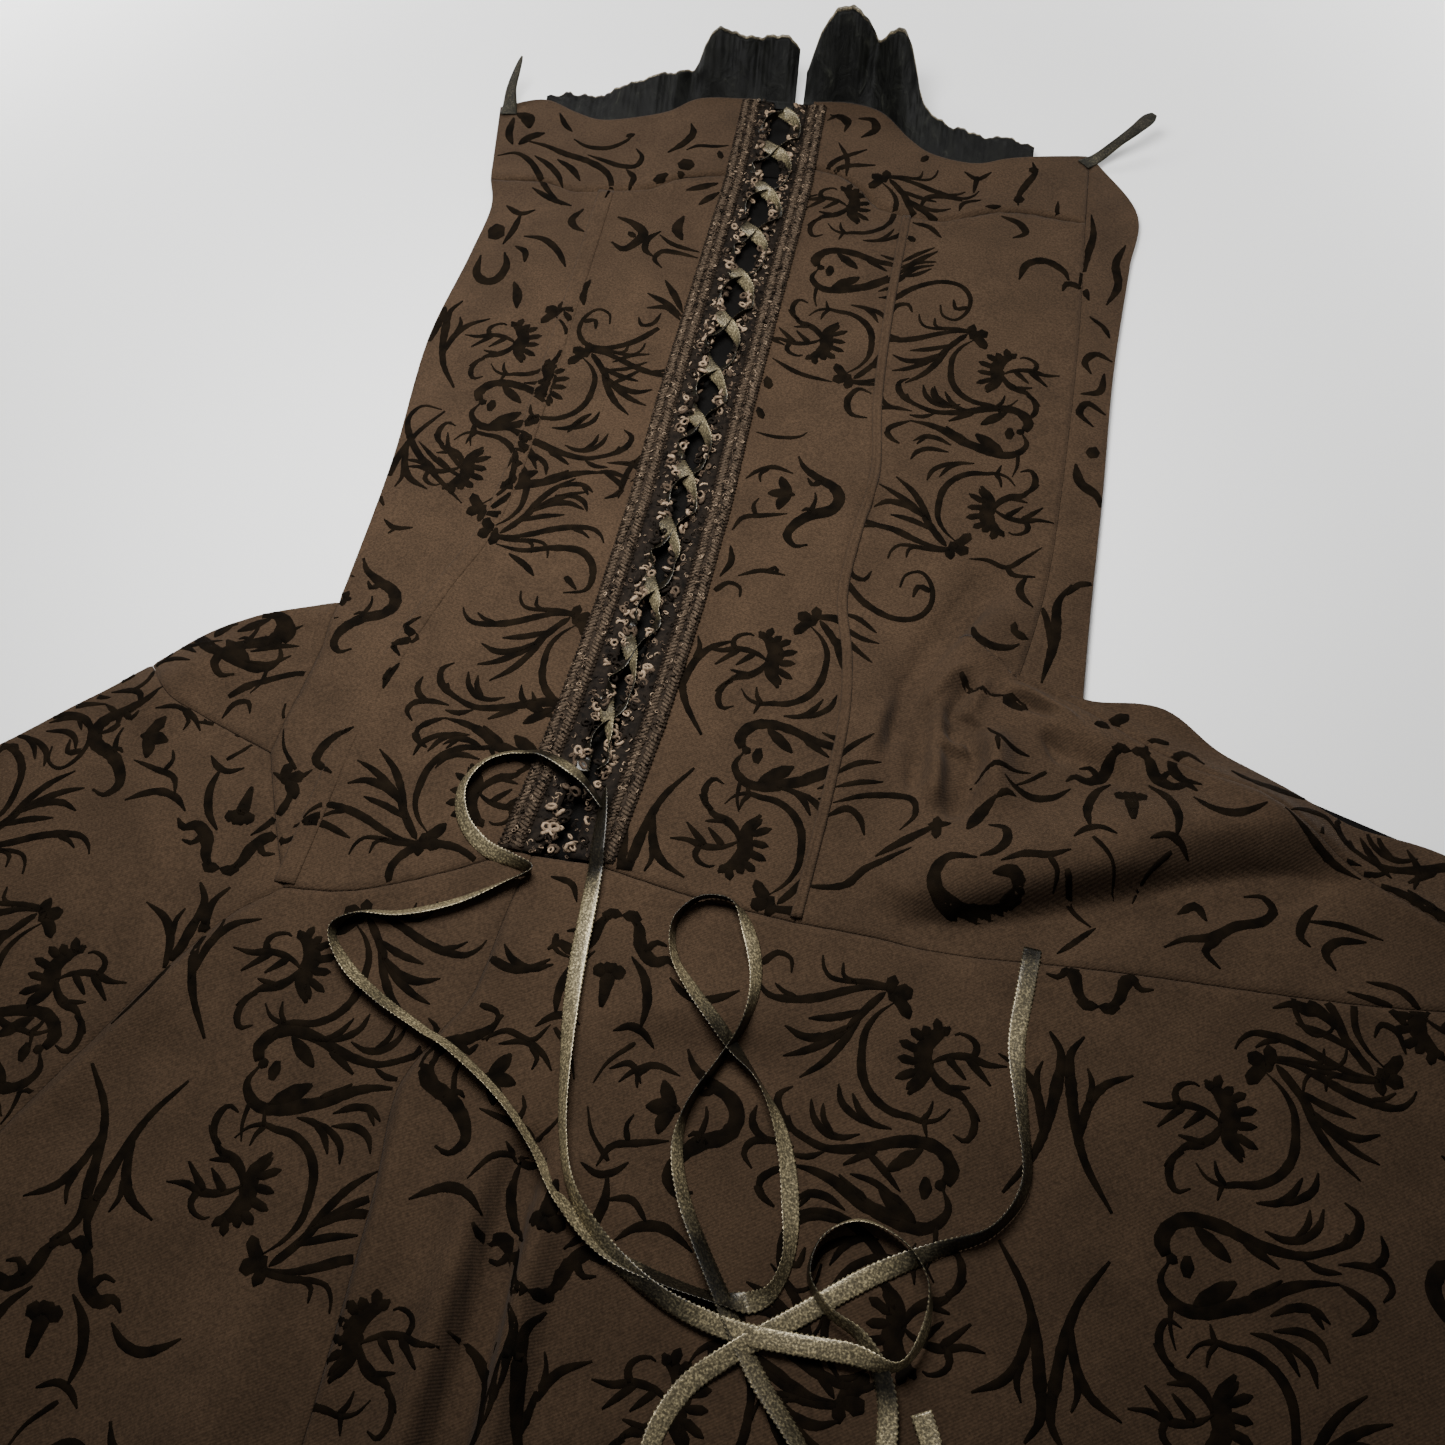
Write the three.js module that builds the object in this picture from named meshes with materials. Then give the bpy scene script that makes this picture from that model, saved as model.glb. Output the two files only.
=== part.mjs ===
import * as THREE from 'three';

// A long corset dress, laid flat on its back with the laced front up.
// Millimetres, +Z up. +Y runs from the hem to the neckline and +X to the right as seen from above.
// The origin is on the underside, below the lower end of the lacing.

// Cloth and gaps
const WALL = 1.5;
const GAP = 0.3;
const BACK_TOP = WALL;
const FRONT_LOW = BACK_TOP + GAP + WALL;

// How the front stands over the back
const CROWN = 3.6;
const EDGE_ROUND = 24;
const FLOOR_SOFTNESS = 0.3;

// Rows and columns of the walls
const BODY_ROWS = 22;
const BAND_ROWS = 4;
const SKIRT_ROWS = 14;
const COLUMNS = { sideLeft: 5, centreLeft: 5, underLace: 1, pleatToLace: 2, centreRight: 5, sideRight: 11 };
const GODET_COLUMNS = 5;
const GODET_ROWS = 4;
const FLARE_ROWS = 9;
const SIDE_PANEL_COLUMNS = 2;
const BACK = {
  bodiceColumns: 4,
  bodiceRows: 8,
  waistColumns: 13,
  upperRows: { left: 3, right: 4 },
  lowerRows: { left: 5, right: 4 },
  hemColumns: [3, 2, 7, 1],
};

// The laced strip
const STRIP = {
  panelEdge: 18, braidInner: 15.5, braidOuter: 26.5, laceOuter: 17.3,
  braidRows: 24, laceScallops: 30, stepsPerScallop: 3, scallopDepth: 3,
  gapTop: 7.5, gapBottom: 2.2, laceTop: 534, laceEnd: -3, height: 3.4,
};
const BRAID_PROFILE = [
  { across: 0, height: 0.9 },
  { across: 0.28, height: 2.0 },
  { across: 0.5, height: 1.3 },
  { across: 0.72, height: 2.0 },
  { across: 1, height: 0.9 },
];
const LACING = { pitch: 36, reach: 3.6, width: 5, thickness: 1, lift: 1.5, top: 520, bottom: 34, step: 6 };
const CHANNEL = { rightHalf: 2.4, leftHalf: 5.5, height: 1.2, clearance: 0.7 };
const RIBBON = { width: 8, thickness: 1, clearance: 0.7, layer: 2.4, sides: 8, watch: 11 };
const RIBBON_STEPS = { left: 60, right: 50 };
const LOOP = { width: 5, thickness: 1, clearance: 0.8, rows: 9 };
const RUFFLE = { thickness: 1, root: 5, past: 1.2, rows: 4, step: 3.4 };

const COLOURS = {
  cloth: { color: 0x4b3a2c, roughness: 0.95 },
  ruffle: { color: 0x191a17, roughness: 0.6 },
  braid: { color: 0x3d3226, roughness: 0.85 },
  lace: { color: 0x7a6553, roughness: 0.9 },
  ribbon: { color: 0x6f6549, roughness: 0.35 },
};

// Seams and edges, each from its upper end to its lower end
const RIGHT_EDGE = [[208, 514], [238, 464], [235, 417], [229, 330], [227, 246], [224, 162], [223, 116]];
const RIGHT_EDGE_TO_HIP = [[223, 116], [260, 118], [287, 97], [337, 69], [381, 61], [440, 28]];
const RIGHT_EDGE_TO_HEM = [[440, 28], [500, -12], [600, -82], [704, -150]];
const LEFT_EDGE_TO_GODET = [[-144, 118], [-184, 102], [-205, 85], [-222, 66]];
const LEFT_EDGE_TO_HEM = [[-222, 66], [-250, 40], [-277, 13], [-330, -30], [-430, -110], [-567, -215]];
const SIDE_SEAM_LEFT = [[-153, 444], [-146, 420], [-147, 376], [-152, 305], [-145, 210], [-144, 118]];
const GODET_SEAM_LEFT = [[-144, 118], [-144, 87], [-147, 27]];
const GODET_SEAM_LOW = [[-222, 66], [-204, 48], [-188, 42], [-147, 27]];
const SIDE_SEAM_RIGHT = [[208, 451], [209, 352], [206, 243], [203, 190], [198, 152], [192, 122]];
const SIDE_SEAM_FLARE = [
  [192, 122], [212, 116], [236, 104], [268, 85], [298, 72], [340, 46], [378, 23], [424, -8],
];
const SIDE_SEAM_SKIRT = [[424, -8], [480, -48], [560, -108], [664, -184]];
const PRINCESS_LEFT = [
  [-78, 440], [-77, 344], [-78, 207], [-83, 166], [-95, 130], [-106, 83], [-113, 40], [-118, -38],
];
const PRINCESS_RIGHT = [
  [104, 441], [103, 361], [105, 291], [110, 237], [106, 200], [104, 156], [111, 121], [114, 87],
  [112, 44], [107, -18],
];
const STRIP_AXIS = [
  [16, 538], [18, 459], [15, 337], [13.5, 274], [13.5, 204], [11, 139], [6, 70], [1, 25], [-2.5, -4],
];
const PLEAT_LEFT = [
  [-118, -38], [-136, -54], [-154, -81], [-170, -109], [-195, -160], [-228, -235], [-285, -377],
];
const PLEAT_CENTRE = [
  [-13, -5], [-17, -32], [-22, -75], [-31, -92], [-41, -116], [-38, -160], [-37, -240], [-45, -422],
];

// Seams and edges that run across, each from left to right
const NECK_LEFT = [
  [-165, 513], [-137, 521], [-115, 511], [-97, 505], [-72, 511], [-55, 519], [-39, 534], [-2, 538],
];
const NECK_RIGHT = [
  [34, 540], [57, 542], [77, 536], [98, 512], [112, 500], [140, 494], [160, 502], [208, 514],
];
const BUST_SIDE_LEFT = [[-153, 444], [-118, 444], [-97, 437], [-78, 440]];
const BUST_CENTRE_LEFT = [[-78, 440], [-53, 445], [-36, 457], [0, 466]];
const BUST_CENTRE_RIGHT = [[36, 478], [60, 473], [73, 463], [87, 449], [104, 441]];
const BUST_SIDE_RIGHT = [[104, 441], [124, 440], [158, 454], [208, 451]];
const HIP_SIDE_LEFT = [[-147, 27], [-132, -8], [-118, -38]];
const HIP_CENTRE_LEFT = [[-118, -38], [-89, -35], [-50, -20], [-20.5, -4]];
const HIP_UNDER_LACE = [[-20.5, -4], [-13, -5]];
const HIP_PLEAT_TO_LACE = [[-13, -5], [15.5, -5]];
const HIP_CENTRE_RIGHT = [[15.5, -5], [60, -13], [107, -18]];
const HIP_SIDE_RIGHT = [[107, -18], [178, -20], [263, -18], [350, -16], [424, -8]];
const HEM_SIDE_LEFT = [[-567, -215], [-500, -268], [-400, -330], [-285, -377]];
const HEM_LEFT = [[-285, -377], [-170, -407], [-45, -422]];
const HEM_RIGHT = [
  [-45, -422], [100, -422], [250, -403], [380, -364], [500, -306], [600, -240], [664, -184],
];
const HEM_SIDE_RIGHT = [[664, -184], [704, -150]];

// The garment's outline as x at each y, which the crown of the front follows
const OUTLINE = [
  { y: 545, left: -170, right: 200 },
  { y: 513, left: -165, right: 208 },
  { y: 464, left: -156, right: 238 },
  { y: 420, left: -146, right: 235 },
  { y: 305, left: -152, right: 228 },
  { y: 118, left: -144, right: 226 },
  { y: 96, left: -195, right: 288 },
  { y: 62, left: -226, right: 378 },
  { y: 28, left: -262, right: 440 },
  { y: -30, left: -330, right: 526 },
  { y: -110, left: -430, right: 645 },
  { y: -150, left: -481, right: 704 },
  { y: -215, left: -567, right: 704 },
];

// Folds: a ridge (rise above 0) or a trough along a line, with its spread to each side of the line's
// direction and the share of its length over which each end dies out
const FOLDS = [
  {
    line: [[128, 6], [173, 12], [218, 27], [256, 43], [298, 56], [350, 60]],
    rise: 15, left: 26, right: 13, ends: 0.25,
  },
  {
    line: [[135, -8], [173, -14], [218, 1], [256, 17], [298, 31], [345, 36]],
    rise: -7, left: 8, right: 12, ends: 0.2,
  },
  {
    line: [[180, 196], [166, 163], [150, 128], [141, 100], [138, 68]],
    rise: -6, left: 9, right: 8, ends: 0.25,
  },
  { line: [[196, 178], [178, 140], [164, 108]], rise: 5, left: 12, right: 9, ends: 0.35 },
  { line: [[148, 118], [149, 82], [152, 46]], rise: -5, left: 6, right: 6, ends: 0.3 },
  { line: [[157, 112], [158, 78], [160, 40]], rise: 5, left: 6, right: 7, ends: 0.3 },
  { line: [[172, 100], [167, 82], [168, 34]], rise: -8, left: 8, right: 7, ends: 0.3 },
  { line: [[182, 98], [184, 74], [190, 40]], rise: 7, left: 10, right: 8, ends: 0.3 },
  { line: [[120, 130], [124, 90], [126, 30]], rise: 3, left: 9, right: 9, ends: 0.3 },
  { line: [[196, 108], [222, 98], [246, 82]], rise: 5, left: 8, right: 9, ends: 0.35 },
  { line: [[204, 92], [232, 78], [262, 62]], rise: -4, left: 7, right: 8, ends: 0.35 },
  { line: [[230, 108], [300, 68], [378, 24], [480, -44]], rise: 3, left: 8, right: 8, ends: 0.2 },
  { line: [[-148, 108], [-158, 78], [-166, 52]], rise: -5, left: 15, right: 12, ends: 0.3 },
  { line: [[-176, 92], [-200, 62], [-228, 30]], rise: 5, left: 18, right: 18, ends: 0.3 },
  {
    line: [[-112, -42], [-130, -56], [-148, -83], [-164, -112], [-192, -168]],
    rise: 4.5, left: 16, right: 4, ends: 0.2,
  },
  { line: [[-139, -102], [-156, -124], [-170, -170]], rise: -4.5, left: 16, right: 18, ends: 0.3 },
  {
    line: [[-9, -22], [-17, -74], [-26, -92], [-36, -116], [-33, -160], [-32, -250]],
    rise: 4.5, left: 16, right: 4, ends: 0.15,
  },
  {
    line: [[19, -118], [16, -152], [16, -200], [12, -300], [4, -422]],
    rise: -9, left: 8, right: 8, ends: 0.1,
  },
  {
    line: [[36, -112], [32, -152], [32, -200], [32, -300], [34, -422]],
    rise: 7, left: 15, right: 9, ends: 0.12,
  },
  {
    line: [[4, -120], [0, -160], [-3, -220], [-12, -300], [-22, -422]],
    rise: 6, left: 9, right: 13, ends: 0.12,
  },
  { line: [[28, -86], [57, -83], [96, -80], [124, -82]], rise: -3.5, left: 10, right: 12, ends: 0.3 },
  { line: [[30, -68], [80, -62], [130, -64]], rise: 2.5, left: 12, right: 12, ends: 0.3 },
  { line: [[74, 462], [82, 446], [90, 425]], rise: -3, left: 12, right: 12, ends: 0.3 },
  { line: [[96, 244], [109, 230], [122, 218]], rise: 2.5, left: 5, right: 5, ends: 0.4 },
  { line: [[100, 226], [112, 216], [122, 200]], rise: -2.5, left: 6, right: 6, ends: 0.4 },
  { line: [[-120, 120], [-108, 60], [-100, -10]], rise: 2.5, left: 12, right: 14, ends: 0.3 },
  { line: [[150, -60], [175, -150], [200, -260], [215, -410]], rise: 4, left: 30, right: 26, ends: 0.3 },
  {
    line: [[235, -70], [268, -160], [305, -270], [340, -378]],
    rise: -3.5, left: 26, right: 26, ends: 0.25,
  },
  { line: [[290, -60], [345, -150], [410, -250], [455, -330]], rise: 9, left: 26, right: 20, ends: 0.35 },
  { line: [[350, -50], [420, -130], [500, -210], [560, -268]], rise: -4, left: 22, right: 24, ends: 0.3 },
  { line: [[400, -60], [480, -120], [560, -180], [630, -222]], rise: 8, left: 24, right: 18, ends: 0.35 },
  { line: [[-60, -160], [-75, -240], [-92, -330], [-100, -412]], rise: 8, left: 22, right: 18, ends: 0.4 },
  {
    line: [[-105, -170], [-130, -250], [-155, -330], [-168, -400]],
    rise: -4, left: 20, right: 22, ends: 0.35,
  },
  {
    line: [[-225, -70], [-290, -150], [-350, -230], [-400, -322]],
    rise: 9, left: 24, right: 24, ends: 0.4,
  },
  {
    line: [[-262, -40], [-340, -110], [-420, -190], [-480, -272]],
    rise: -4, left: 22, right: 22, ends: 0.35,
  },
];

// The ruffle: how long it stands past the neckline, how steeply it rises, and its waves
const RUFFLE_LEFT = {
  neck: NECK_LEFT, columns: COLUMNS.sideLeft + COLUMNS.centreLeft, from: -136, to: 20,
  rows: [
    { x: -136, length: 6, tilt: 14 },
    { x: -104, length: 17, tilt: 20 },
    { x: -80, length: 27, tilt: 24 },
    { x: -40, length: 31, tilt: 32 },
    { x: -28, length: 36, tilt: 48 },
    { x: 8, length: 36, tilt: 52 },
    { x: 20, length: 32, tilt: 52 },
  ],
  waves: 7, wave: 3.2,
};
const RUFFLE_RIGHT = {
  neck: NECK_RIGHT, columns: COLUMNS.centreRight + COLUMNS.sideRight, from: 28, to: 173,
  rows: [
    { x: 28, length: 26, tilt: 48 },
    { x: 40, length: 44, tilt: 58 },
    { x: 53, length: 54, tilt: 60 },
    { x: 68, length: 42, tilt: 58 },
    { x: 83, length: 47, tilt: 56 },
    { x: 94, length: 29, tilt: 30 },
    { x: 150, length: 23, tilt: 20 },
    { x: 173, length: 13, tilt: 14 },
  ],
  waves: 6, wave: 3.2,
};

// The ribbon's free ends, as places on the cloth and the number of ribbon layers under each
const RIBBON_END_LEFT = [
  [10, 26, 0], [-4, 36, 0], [-19, 44, 0], [-34, 43, 0], [-46, 36, 0], [-52, 22, 0], [-47, 6, 0],
  [-34, -5, 0],
  [-20, -10, 0], [-7, -13, 0], [-20, -21, 0], [-40, -34, 0], [-62, -43, 0], [-80, -46, 0], [-88, -55, 0],
  [-78, -69, 0], [-60, -81, 0], [-39, -91, 0], [-18, -101, 0], [2, -114, 0], [20, -131, 0], [36, -150, 0],
  [56, -165, 0], [80, -171, 0], [104, -174, 0], [119, -171, 0.3], [125, -158, 0], [123, -135, 0],
  [115, -108, 0.2],
  [101, -89, 1], [86, -73, 1], [70, -57, 0.2], [59, -42, 0], [57, -27, 0], [66, -14, 0], [80, -15, 0],
  [91, -28, 0], [96, -50, 0], [93, -72, 0], [82, -92, 0], [76, -112, 0], [78, -134, 0], [90, -155, 0.6],
  [102, -172, 1], [112, -187, 0], [122, -200, 0], [138, -217, 0], [152, -236, 0.5], [168, -241, 1],
  [184, -230, 0.5],
  [185, -212, 0], [180, -200, 0],
];
const RIBBON_END_RIGHT = [
  [12, 22, 0], [16, 4, 0], [17, -18, 0], [18, -42, 0], [20, -68, 0], [25, -98, 0.3], [30, -122, 1],
  [40, -146, 1], [56, -163, 1], [80, -177, 1], [106, -184, 2], [130, -185, 2], [154, -185, 2],
  [173, -187, 2], [180, -172, 1], [176, -156, 1], [164, -143, 1], [148, -139, 0.4], [136, -148, 0.2],
  [134, -162, 0.8], [143, -173, 1], [156, -180, 0.6], [166, -193, 0], [169, -210, 0], [166, -232, 0],
  [152, -256, 0], [124, -266, 0], [98, -254, 0], [87, -230, 0], [94, -208, 0], [109, -193, 1.2],
  [131, -176, 0.2],
  [155, -158, 0], [184, -141, 0], [205, -130, 0], [213, -112, 0], [208, -86, 0], [204, -58, 0],
  [206, -32, 0], [208, -13, 0],
];

// Hanging loops at the top corners: places, each with its least height above the surface
const LOOP_LEFT = [[-157, 504, 0], [-158, 512, 0], [-158, 520, 12], [-156, 528, 18], [-153, 536, 25]];
const LOOP_RIGHT = [[204, 503, 0], [211, 511, 0], [222, 519, 10], [233, 526, 14], [243, 531, 18]];

function curve2(points) {
  return new THREE.CatmullRomCurve3(points.map(([x, y]) => new THREE.Vector3(x, y, 0)), false, 'centripetal');
}

function spaced(points, count) {
  const places = curve2(points).getSpacedPoints(count).map((p) => [p.x, p.y]);
  places[0] = [...points[0]];
  places[count] = [...points[points.length - 1]];
  return places;
}

function joined(...lines) {
  return lines.reduce((all, line) => [...all, ...line.slice(1)], [lines[0][0]]);
}

function between(rows, key, at, value) {
  const rising = rows[rows.length - 1][key] > rows[0][key];
  const order = rising ? rows : [...rows].reverse();
  if (at <= order[0][key]) return order[0][value];
  for (let i = 1; i < order.length; i++) {
    if (at <= order[i][key]) {
      const share = (at - order[i - 1][key]) / (order[i][key] - order[i - 1][key]);
      return order[i - 1][value] + share * (order[i][value] - order[i - 1][value]);
    }
  }
  return order[order.length - 1][value];
}

function stripX(y) {
  const rows = STRIP_AXIS.map(([x, at]) => ({ x, y: at }));
  return between(rows, 'y', y, 'x');
}

function neckY(neck, x) {
  return between(neck.map(([at, y]) => ({ x: at, y })), 'x', x, 'y');
}

function foldRise(fold, x, y) {
  const { line } = fold;
  const lengths = line.slice(1).map(([px, py], i) => Math.hypot(px - line[i][0], py - line[i][1]));
  const total = lengths.reduce((sum, one) => sum + one, 0);
  let best = { distance: Infinity, side: 1, share: 0 };
  let before = 0;
  lengths.forEach((length, i) => {
    const [ax, ay] = line[i];
    const dx = (line[i + 1][0] - ax) / length;
    const dy = (line[i + 1][1] - ay) / length;
    const along = THREE.MathUtils.clamp((x - ax) * dx + (y - ay) * dy, 0, length);
    const distance = Math.hypot(x - ax - along * dx, y - ay - along * dy);
    if (distance < best.distance) {
      const side = dx * (y - ay) - dy * (x - ax);
      best = { distance, side, share: (before + along) / total };
    }
    before += length;
  });
  const spread = best.side > 0 ? fold.left : fold.right;
  const ends = THREE.MathUtils.smoothstep(best.share, 0, fold.ends)
    * (1 - THREE.MathUtils.smoothstep(best.share, 1 - fold.ends, 1));
  return fold.rise * ends * Math.exp(-((best.distance / spread) ** 2));
}

// The upper surface of the front, which every front piece and trim is made from
function frontTop(x, y) {
  const inside = Math.min(x - between(OUTLINE, 'y', y, 'left'), between(OUTLINE, 'y', y, 'right') - x);
  const crown = CROWN * (1 - Math.exp(-Math.max(0, inside) / EDGE_ROUND));
  const free = FOLDS.reduce((sum, fold) => sum + foldRise(fold, x, y), crown);
  return FRONT_LOW + (free + Math.hypot(free, 2 * FLOOR_SOFTNESS)) / 2;
}

// A closed wall from its upper points, its upper triangles and its lower points
function closedWall(upper, triangles, lower) {
  const count = upper.length;
  const indices = [];
  const edges = new Map();
  triangles.forEach(([a, b, c]) => {
    indices.push(a, b, c, a + count, c + count, b + count);
    [[a, b], [b, c], [c, a]].forEach(([p, q]) => edges.set(`${p} ${q}`, [p, q]));
  });
  edges.forEach(([p, q]) => {
    if (!edges.has(`${q} ${p}`)) indices.push(q, p, p + count, q, p + count, q + count);
  });
  const geometry = new THREE.BufferGeometry();
  geometry.setAttribute('position', new THREE.Float32BufferAttribute([...upper, ...lower].flat(), 3));
  geometry.setIndex(indices);
  geometry.computeVertexNormals();
  return geometry;
}

function gridTriangles(rows, columns) {
  const triangles = [];
  for (let j = 0; j < rows; j++) {
    for (let i = 0; i < columns; i++) {
      const a = j * (columns + 1) + i;
      const c = a + columns + 1;
      triangles.push([a, c, a + 1], [a + 1, c, c + 1]);
    }
  }
  return triangles;
}

// Moves a grid's border half a seam gap inwards
function drawIn(grid) {
  const rows = grid.length - 1;
  const columns = grid[0].length - 1;
  const border = [];
  for (let j = 0; j < rows; j++) border.push([j, 0]);
  for (let i = 0; i < columns; i++) border.push([rows, i]);
  for (let j = rows; j > 0; j--) border.push([j, columns]);
  for (let i = columns; i > 0; i--) border.push([0, i]);
  const places = border.map(([j, i]) => grid[j][i]);
  const moved = places.map((place, k) => {
    const before = places[(k + places.length - 1) % places.length];
    const after = places[(k + 1) % places.length];
    const normals = [[before, place], [place, after]].map(([p, q]) => {
      const length = Math.hypot(q[0] - p[0], q[1] - p[1]) || 1;
      return [-(q[1] - p[1]) / length, (q[0] - p[0]) / length];
    });
    const [n, m] = normals;
    const scale = (GAP / 2) / Math.max(0.35, 1 + n[0] * m[0] + n[1] * m[1]);
    return [place[0] + (n[0] + m[0]) * scale, place[1] + (n[1] + m[1]) * scale];
  });
  const result = grid.map((row) => row.map((place) => [...place]));
  border.forEach(([j, i], k) => { result[j][i] = moved[k]; });
  return result;
}

// A panel's plan between its four edges, as a blend of them
function plan({ top, bottom, left, right }) {
  const columns = top.length - 1;
  const rows = left.length - 1;
  const grid = [];
  for (let j = 0; j <= rows; j++) {
    const v = j / rows;
    const row = [];
    for (let i = 0; i <= columns; i++) {
      const u = i / columns;
      row.push([0, 1].map((k) => {
        const along = (1 - v) * top[i][k] + v * bottom[i][k];
        const across = (1 - u) * left[j][k] + u * right[j][k];
        const cornersAbove = (1 - u) * top[0][k] + u * top[columns][k];
        const cornersBelow = (1 - u) * bottom[0][k] + u * bottom[columns][k];
        return along + across - (1 - v) * cornersAbove - v * cornersBelow;
      }));
    }
    grid.push(row);
  }
  return drawIn(grid);
}

function frontPanel(edges) {
  const grid = plan(edges);
  const upper = grid.flat().map(([x, y]) => [x, y, frontTop(x, y)]);
  const lower = upper.map(([x, y, z]) => [x, y, z - WALL]);
  return closedWall(upper, gridTriangles(grid.length - 1, grid[0].length - 1), lower);
}

function backPanel(edges) {
  const grid = plan(edges);
  const upper = grid.flat().map(([x, y]) => [x, y, BACK_TOP]);
  const lower = upper.map(([x, y]) => [x, y, 0]);
  return closedWall(upper, gridTriangles(grid.length - 1, grid[0].length - 1), lower);
}

// The edges of the laced strip, at a distance to the left (negative) or right of its axis
function stripLine(offset, from, to, count) {
  return Array.from({ length: count + 1 }, (_, i) => {
    const y = from + (to - from) * (i / count);
    return [stripX(y) + offset, y];
  });
}

// A panel's edge along the lace, between its two corners
function laceEdge(side, first, last, count) {
  const places = stripLine(side * STRIP.panelEdge, first[1], last[1], count);
  places[0] = [...first];
  places[count] = [...last];
  return places;
}

const bust = {
  sideLeft: spaced(BUST_SIDE_LEFT, COLUMNS.sideLeft),
  centreLeft: spaced(BUST_CENTRE_LEFT, COLUMNS.centreLeft),
  centreRight: spaced(BUST_CENTRE_RIGHT, COLUMNS.centreRight),
  sideRight: spaced(BUST_SIDE_RIGHT, COLUMNS.sideRight),
};
const hip = {
  sideLeft: spaced(HIP_SIDE_LEFT, COLUMNS.sideLeft),
  centreLeft: spaced(HIP_CENTRE_LEFT, COLUMNS.centreLeft),
  underLace: spaced(HIP_UNDER_LACE, COLUMNS.underLace),
  pleatToLace: spaced(HIP_PLEAT_TO_LACE, COLUMNS.pleatToLace),
  centreRight: spaced(HIP_CENTRE_RIGHT, COLUMNS.centreRight),
  sideRight: spaced(HIP_SIDE_RIGHT, COLUMNS.sideRight),
};
const seam = {
  princessLeft: spaced(PRINCESS_LEFT, BODY_ROWS),
  princessRight: spaced(PRINCESS_RIGHT, BODY_ROWS),
  sideLeft: joined(spaced(SIDE_SEAM_LEFT, BODY_ROWS - GODET_ROWS), spaced(GODET_SEAM_LEFT, GODET_ROWS)),
  sideRight: joined(spaced(SIDE_SEAM_RIGHT, BODY_ROWS - FLARE_ROWS), spaced(SIDE_SEAM_FLARE, FLARE_ROWS)),
  laceLeft: laceEdge(-1, BUST_CENTRE_LEFT.at(-1), HIP_CENTRE_LEFT.at(-1), BODY_ROWS),
  laceRight: laceEdge(1, BUST_CENTRE_RIGHT[0], HIP_CENTRE_RIGHT[0], BODY_ROWS),
  pleatLeft: spaced(PLEAT_LEFT, SKIRT_ROWS),
  pleatCentre: spaced(PLEAT_CENTRE, SKIRT_ROWS),
  sideSkirt: spaced(SIDE_SEAM_SKIRT, SKIRT_ROWS),
};
const bandSeam = {
  left: spaced([NECK_LEFT[0], BUST_SIDE_LEFT[0]], BAND_ROWS),
  laceLeft: laceEdge(-1, NECK_LEFT.at(-1), BUST_CENTRE_LEFT.at(-1), BAND_ROWS),
  laceRight: laceEdge(1, NECK_RIGHT[0], BUST_CENTRE_RIGHT[0], BAND_ROWS),
  right: spaced([NECK_RIGHT.at(-1), BUST_SIDE_RIGHT.at(-1)], BAND_ROWS),
};
const godetLow = spaced(GODET_SEAM_LOW, GODET_COLUMNS);
const rightEdge = joined(
  spaced(RIGHT_EDGE, BAND_ROWS + BODY_ROWS - FLARE_ROWS),
  spaced(RIGHT_EDGE_TO_HIP, FLARE_ROWS),
  spaced(RIGHT_EDGE_TO_HEM, SKIRT_ROWS),
);

const front = {
  bust_band_left: {
    top: spaced(NECK_LEFT, COLUMNS.sideLeft + COLUMNS.centreLeft),
    bottom: joined(bust.sideLeft, bust.centreLeft),
    left: bandSeam.left,
    right: bandSeam.laceLeft,
  },
  bust_band_right: {
    top: spaced(NECK_RIGHT, COLUMNS.centreRight + COLUMNS.sideRight),
    bottom: joined(bust.centreRight, bust.sideRight),
    left: bandSeam.laceRight,
    right: bandSeam.right,
  },
  side_front_left: {
    top: bust.sideLeft,
    bottom: hip.sideLeft,
    left: seam.sideLeft,
    right: seam.princessLeft,
  },
  centre_front_left: {
    top: bust.centreLeft,
    bottom: hip.centreLeft,
    left: seam.princessLeft,
    right: seam.laceLeft,
  },
  centre_front_right: {
    top: bust.centreRight,
    bottom: hip.centreRight,
    left: seam.laceRight,
    right: seam.princessRight,
  },
  side_front_right: {
    top: bust.sideRight,
    bottom: hip.sideRight,
    left: seam.princessRight,
    right: seam.sideRight,
  },
  side_godet_left: {
    top: spaced(LEFT_EDGE_TO_GODET, GODET_COLUMNS).reverse(),
    bottom: godetLow,
    left: Array(GODET_ROWS + 1).fill(GODET_SEAM_LOW[0]),
    right: spaced(GODET_SEAM_LEFT, GODET_ROWS),
  },
  side_back_right: {
    top: Array(SIDE_PANEL_COLUMNS + 1).fill(NECK_RIGHT.at(-1)),
    bottom: spaced(HEM_SIDE_RIGHT, SIDE_PANEL_COLUMNS),
    left: joined(bandSeam.right, seam.sideRight, seam.sideSkirt),
    right: rightEdge,
  },
  skirt_side_left: {
    top: joined(godetLow, hip.sideLeft),
    bottom: spaced(HEM_SIDE_LEFT, GODET_COLUMNS + COLUMNS.sideLeft),
    left: spaced(LEFT_EDGE_TO_HEM, SKIRT_ROWS),
    right: seam.pleatLeft,
  },
  skirt_front_left: {
    top: joined(hip.centreLeft, hip.underLace),
    bottom: spaced(HEM_LEFT, COLUMNS.centreLeft + COLUMNS.underLace),
    left: seam.pleatLeft,
    right: seam.pleatCentre,
  },
  skirt_front_right: {
    top: joined(hip.pleatToLace, hip.centreRight, hip.sideRight),
    bottom: spaced(HEM_RIGHT, COLUMNS.pleatToLace + COLUMNS.centreRight + COLUMNS.sideRight),
    left: seam.pleatCentre,
    right: seam.sideSkirt,
  },
};

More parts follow.
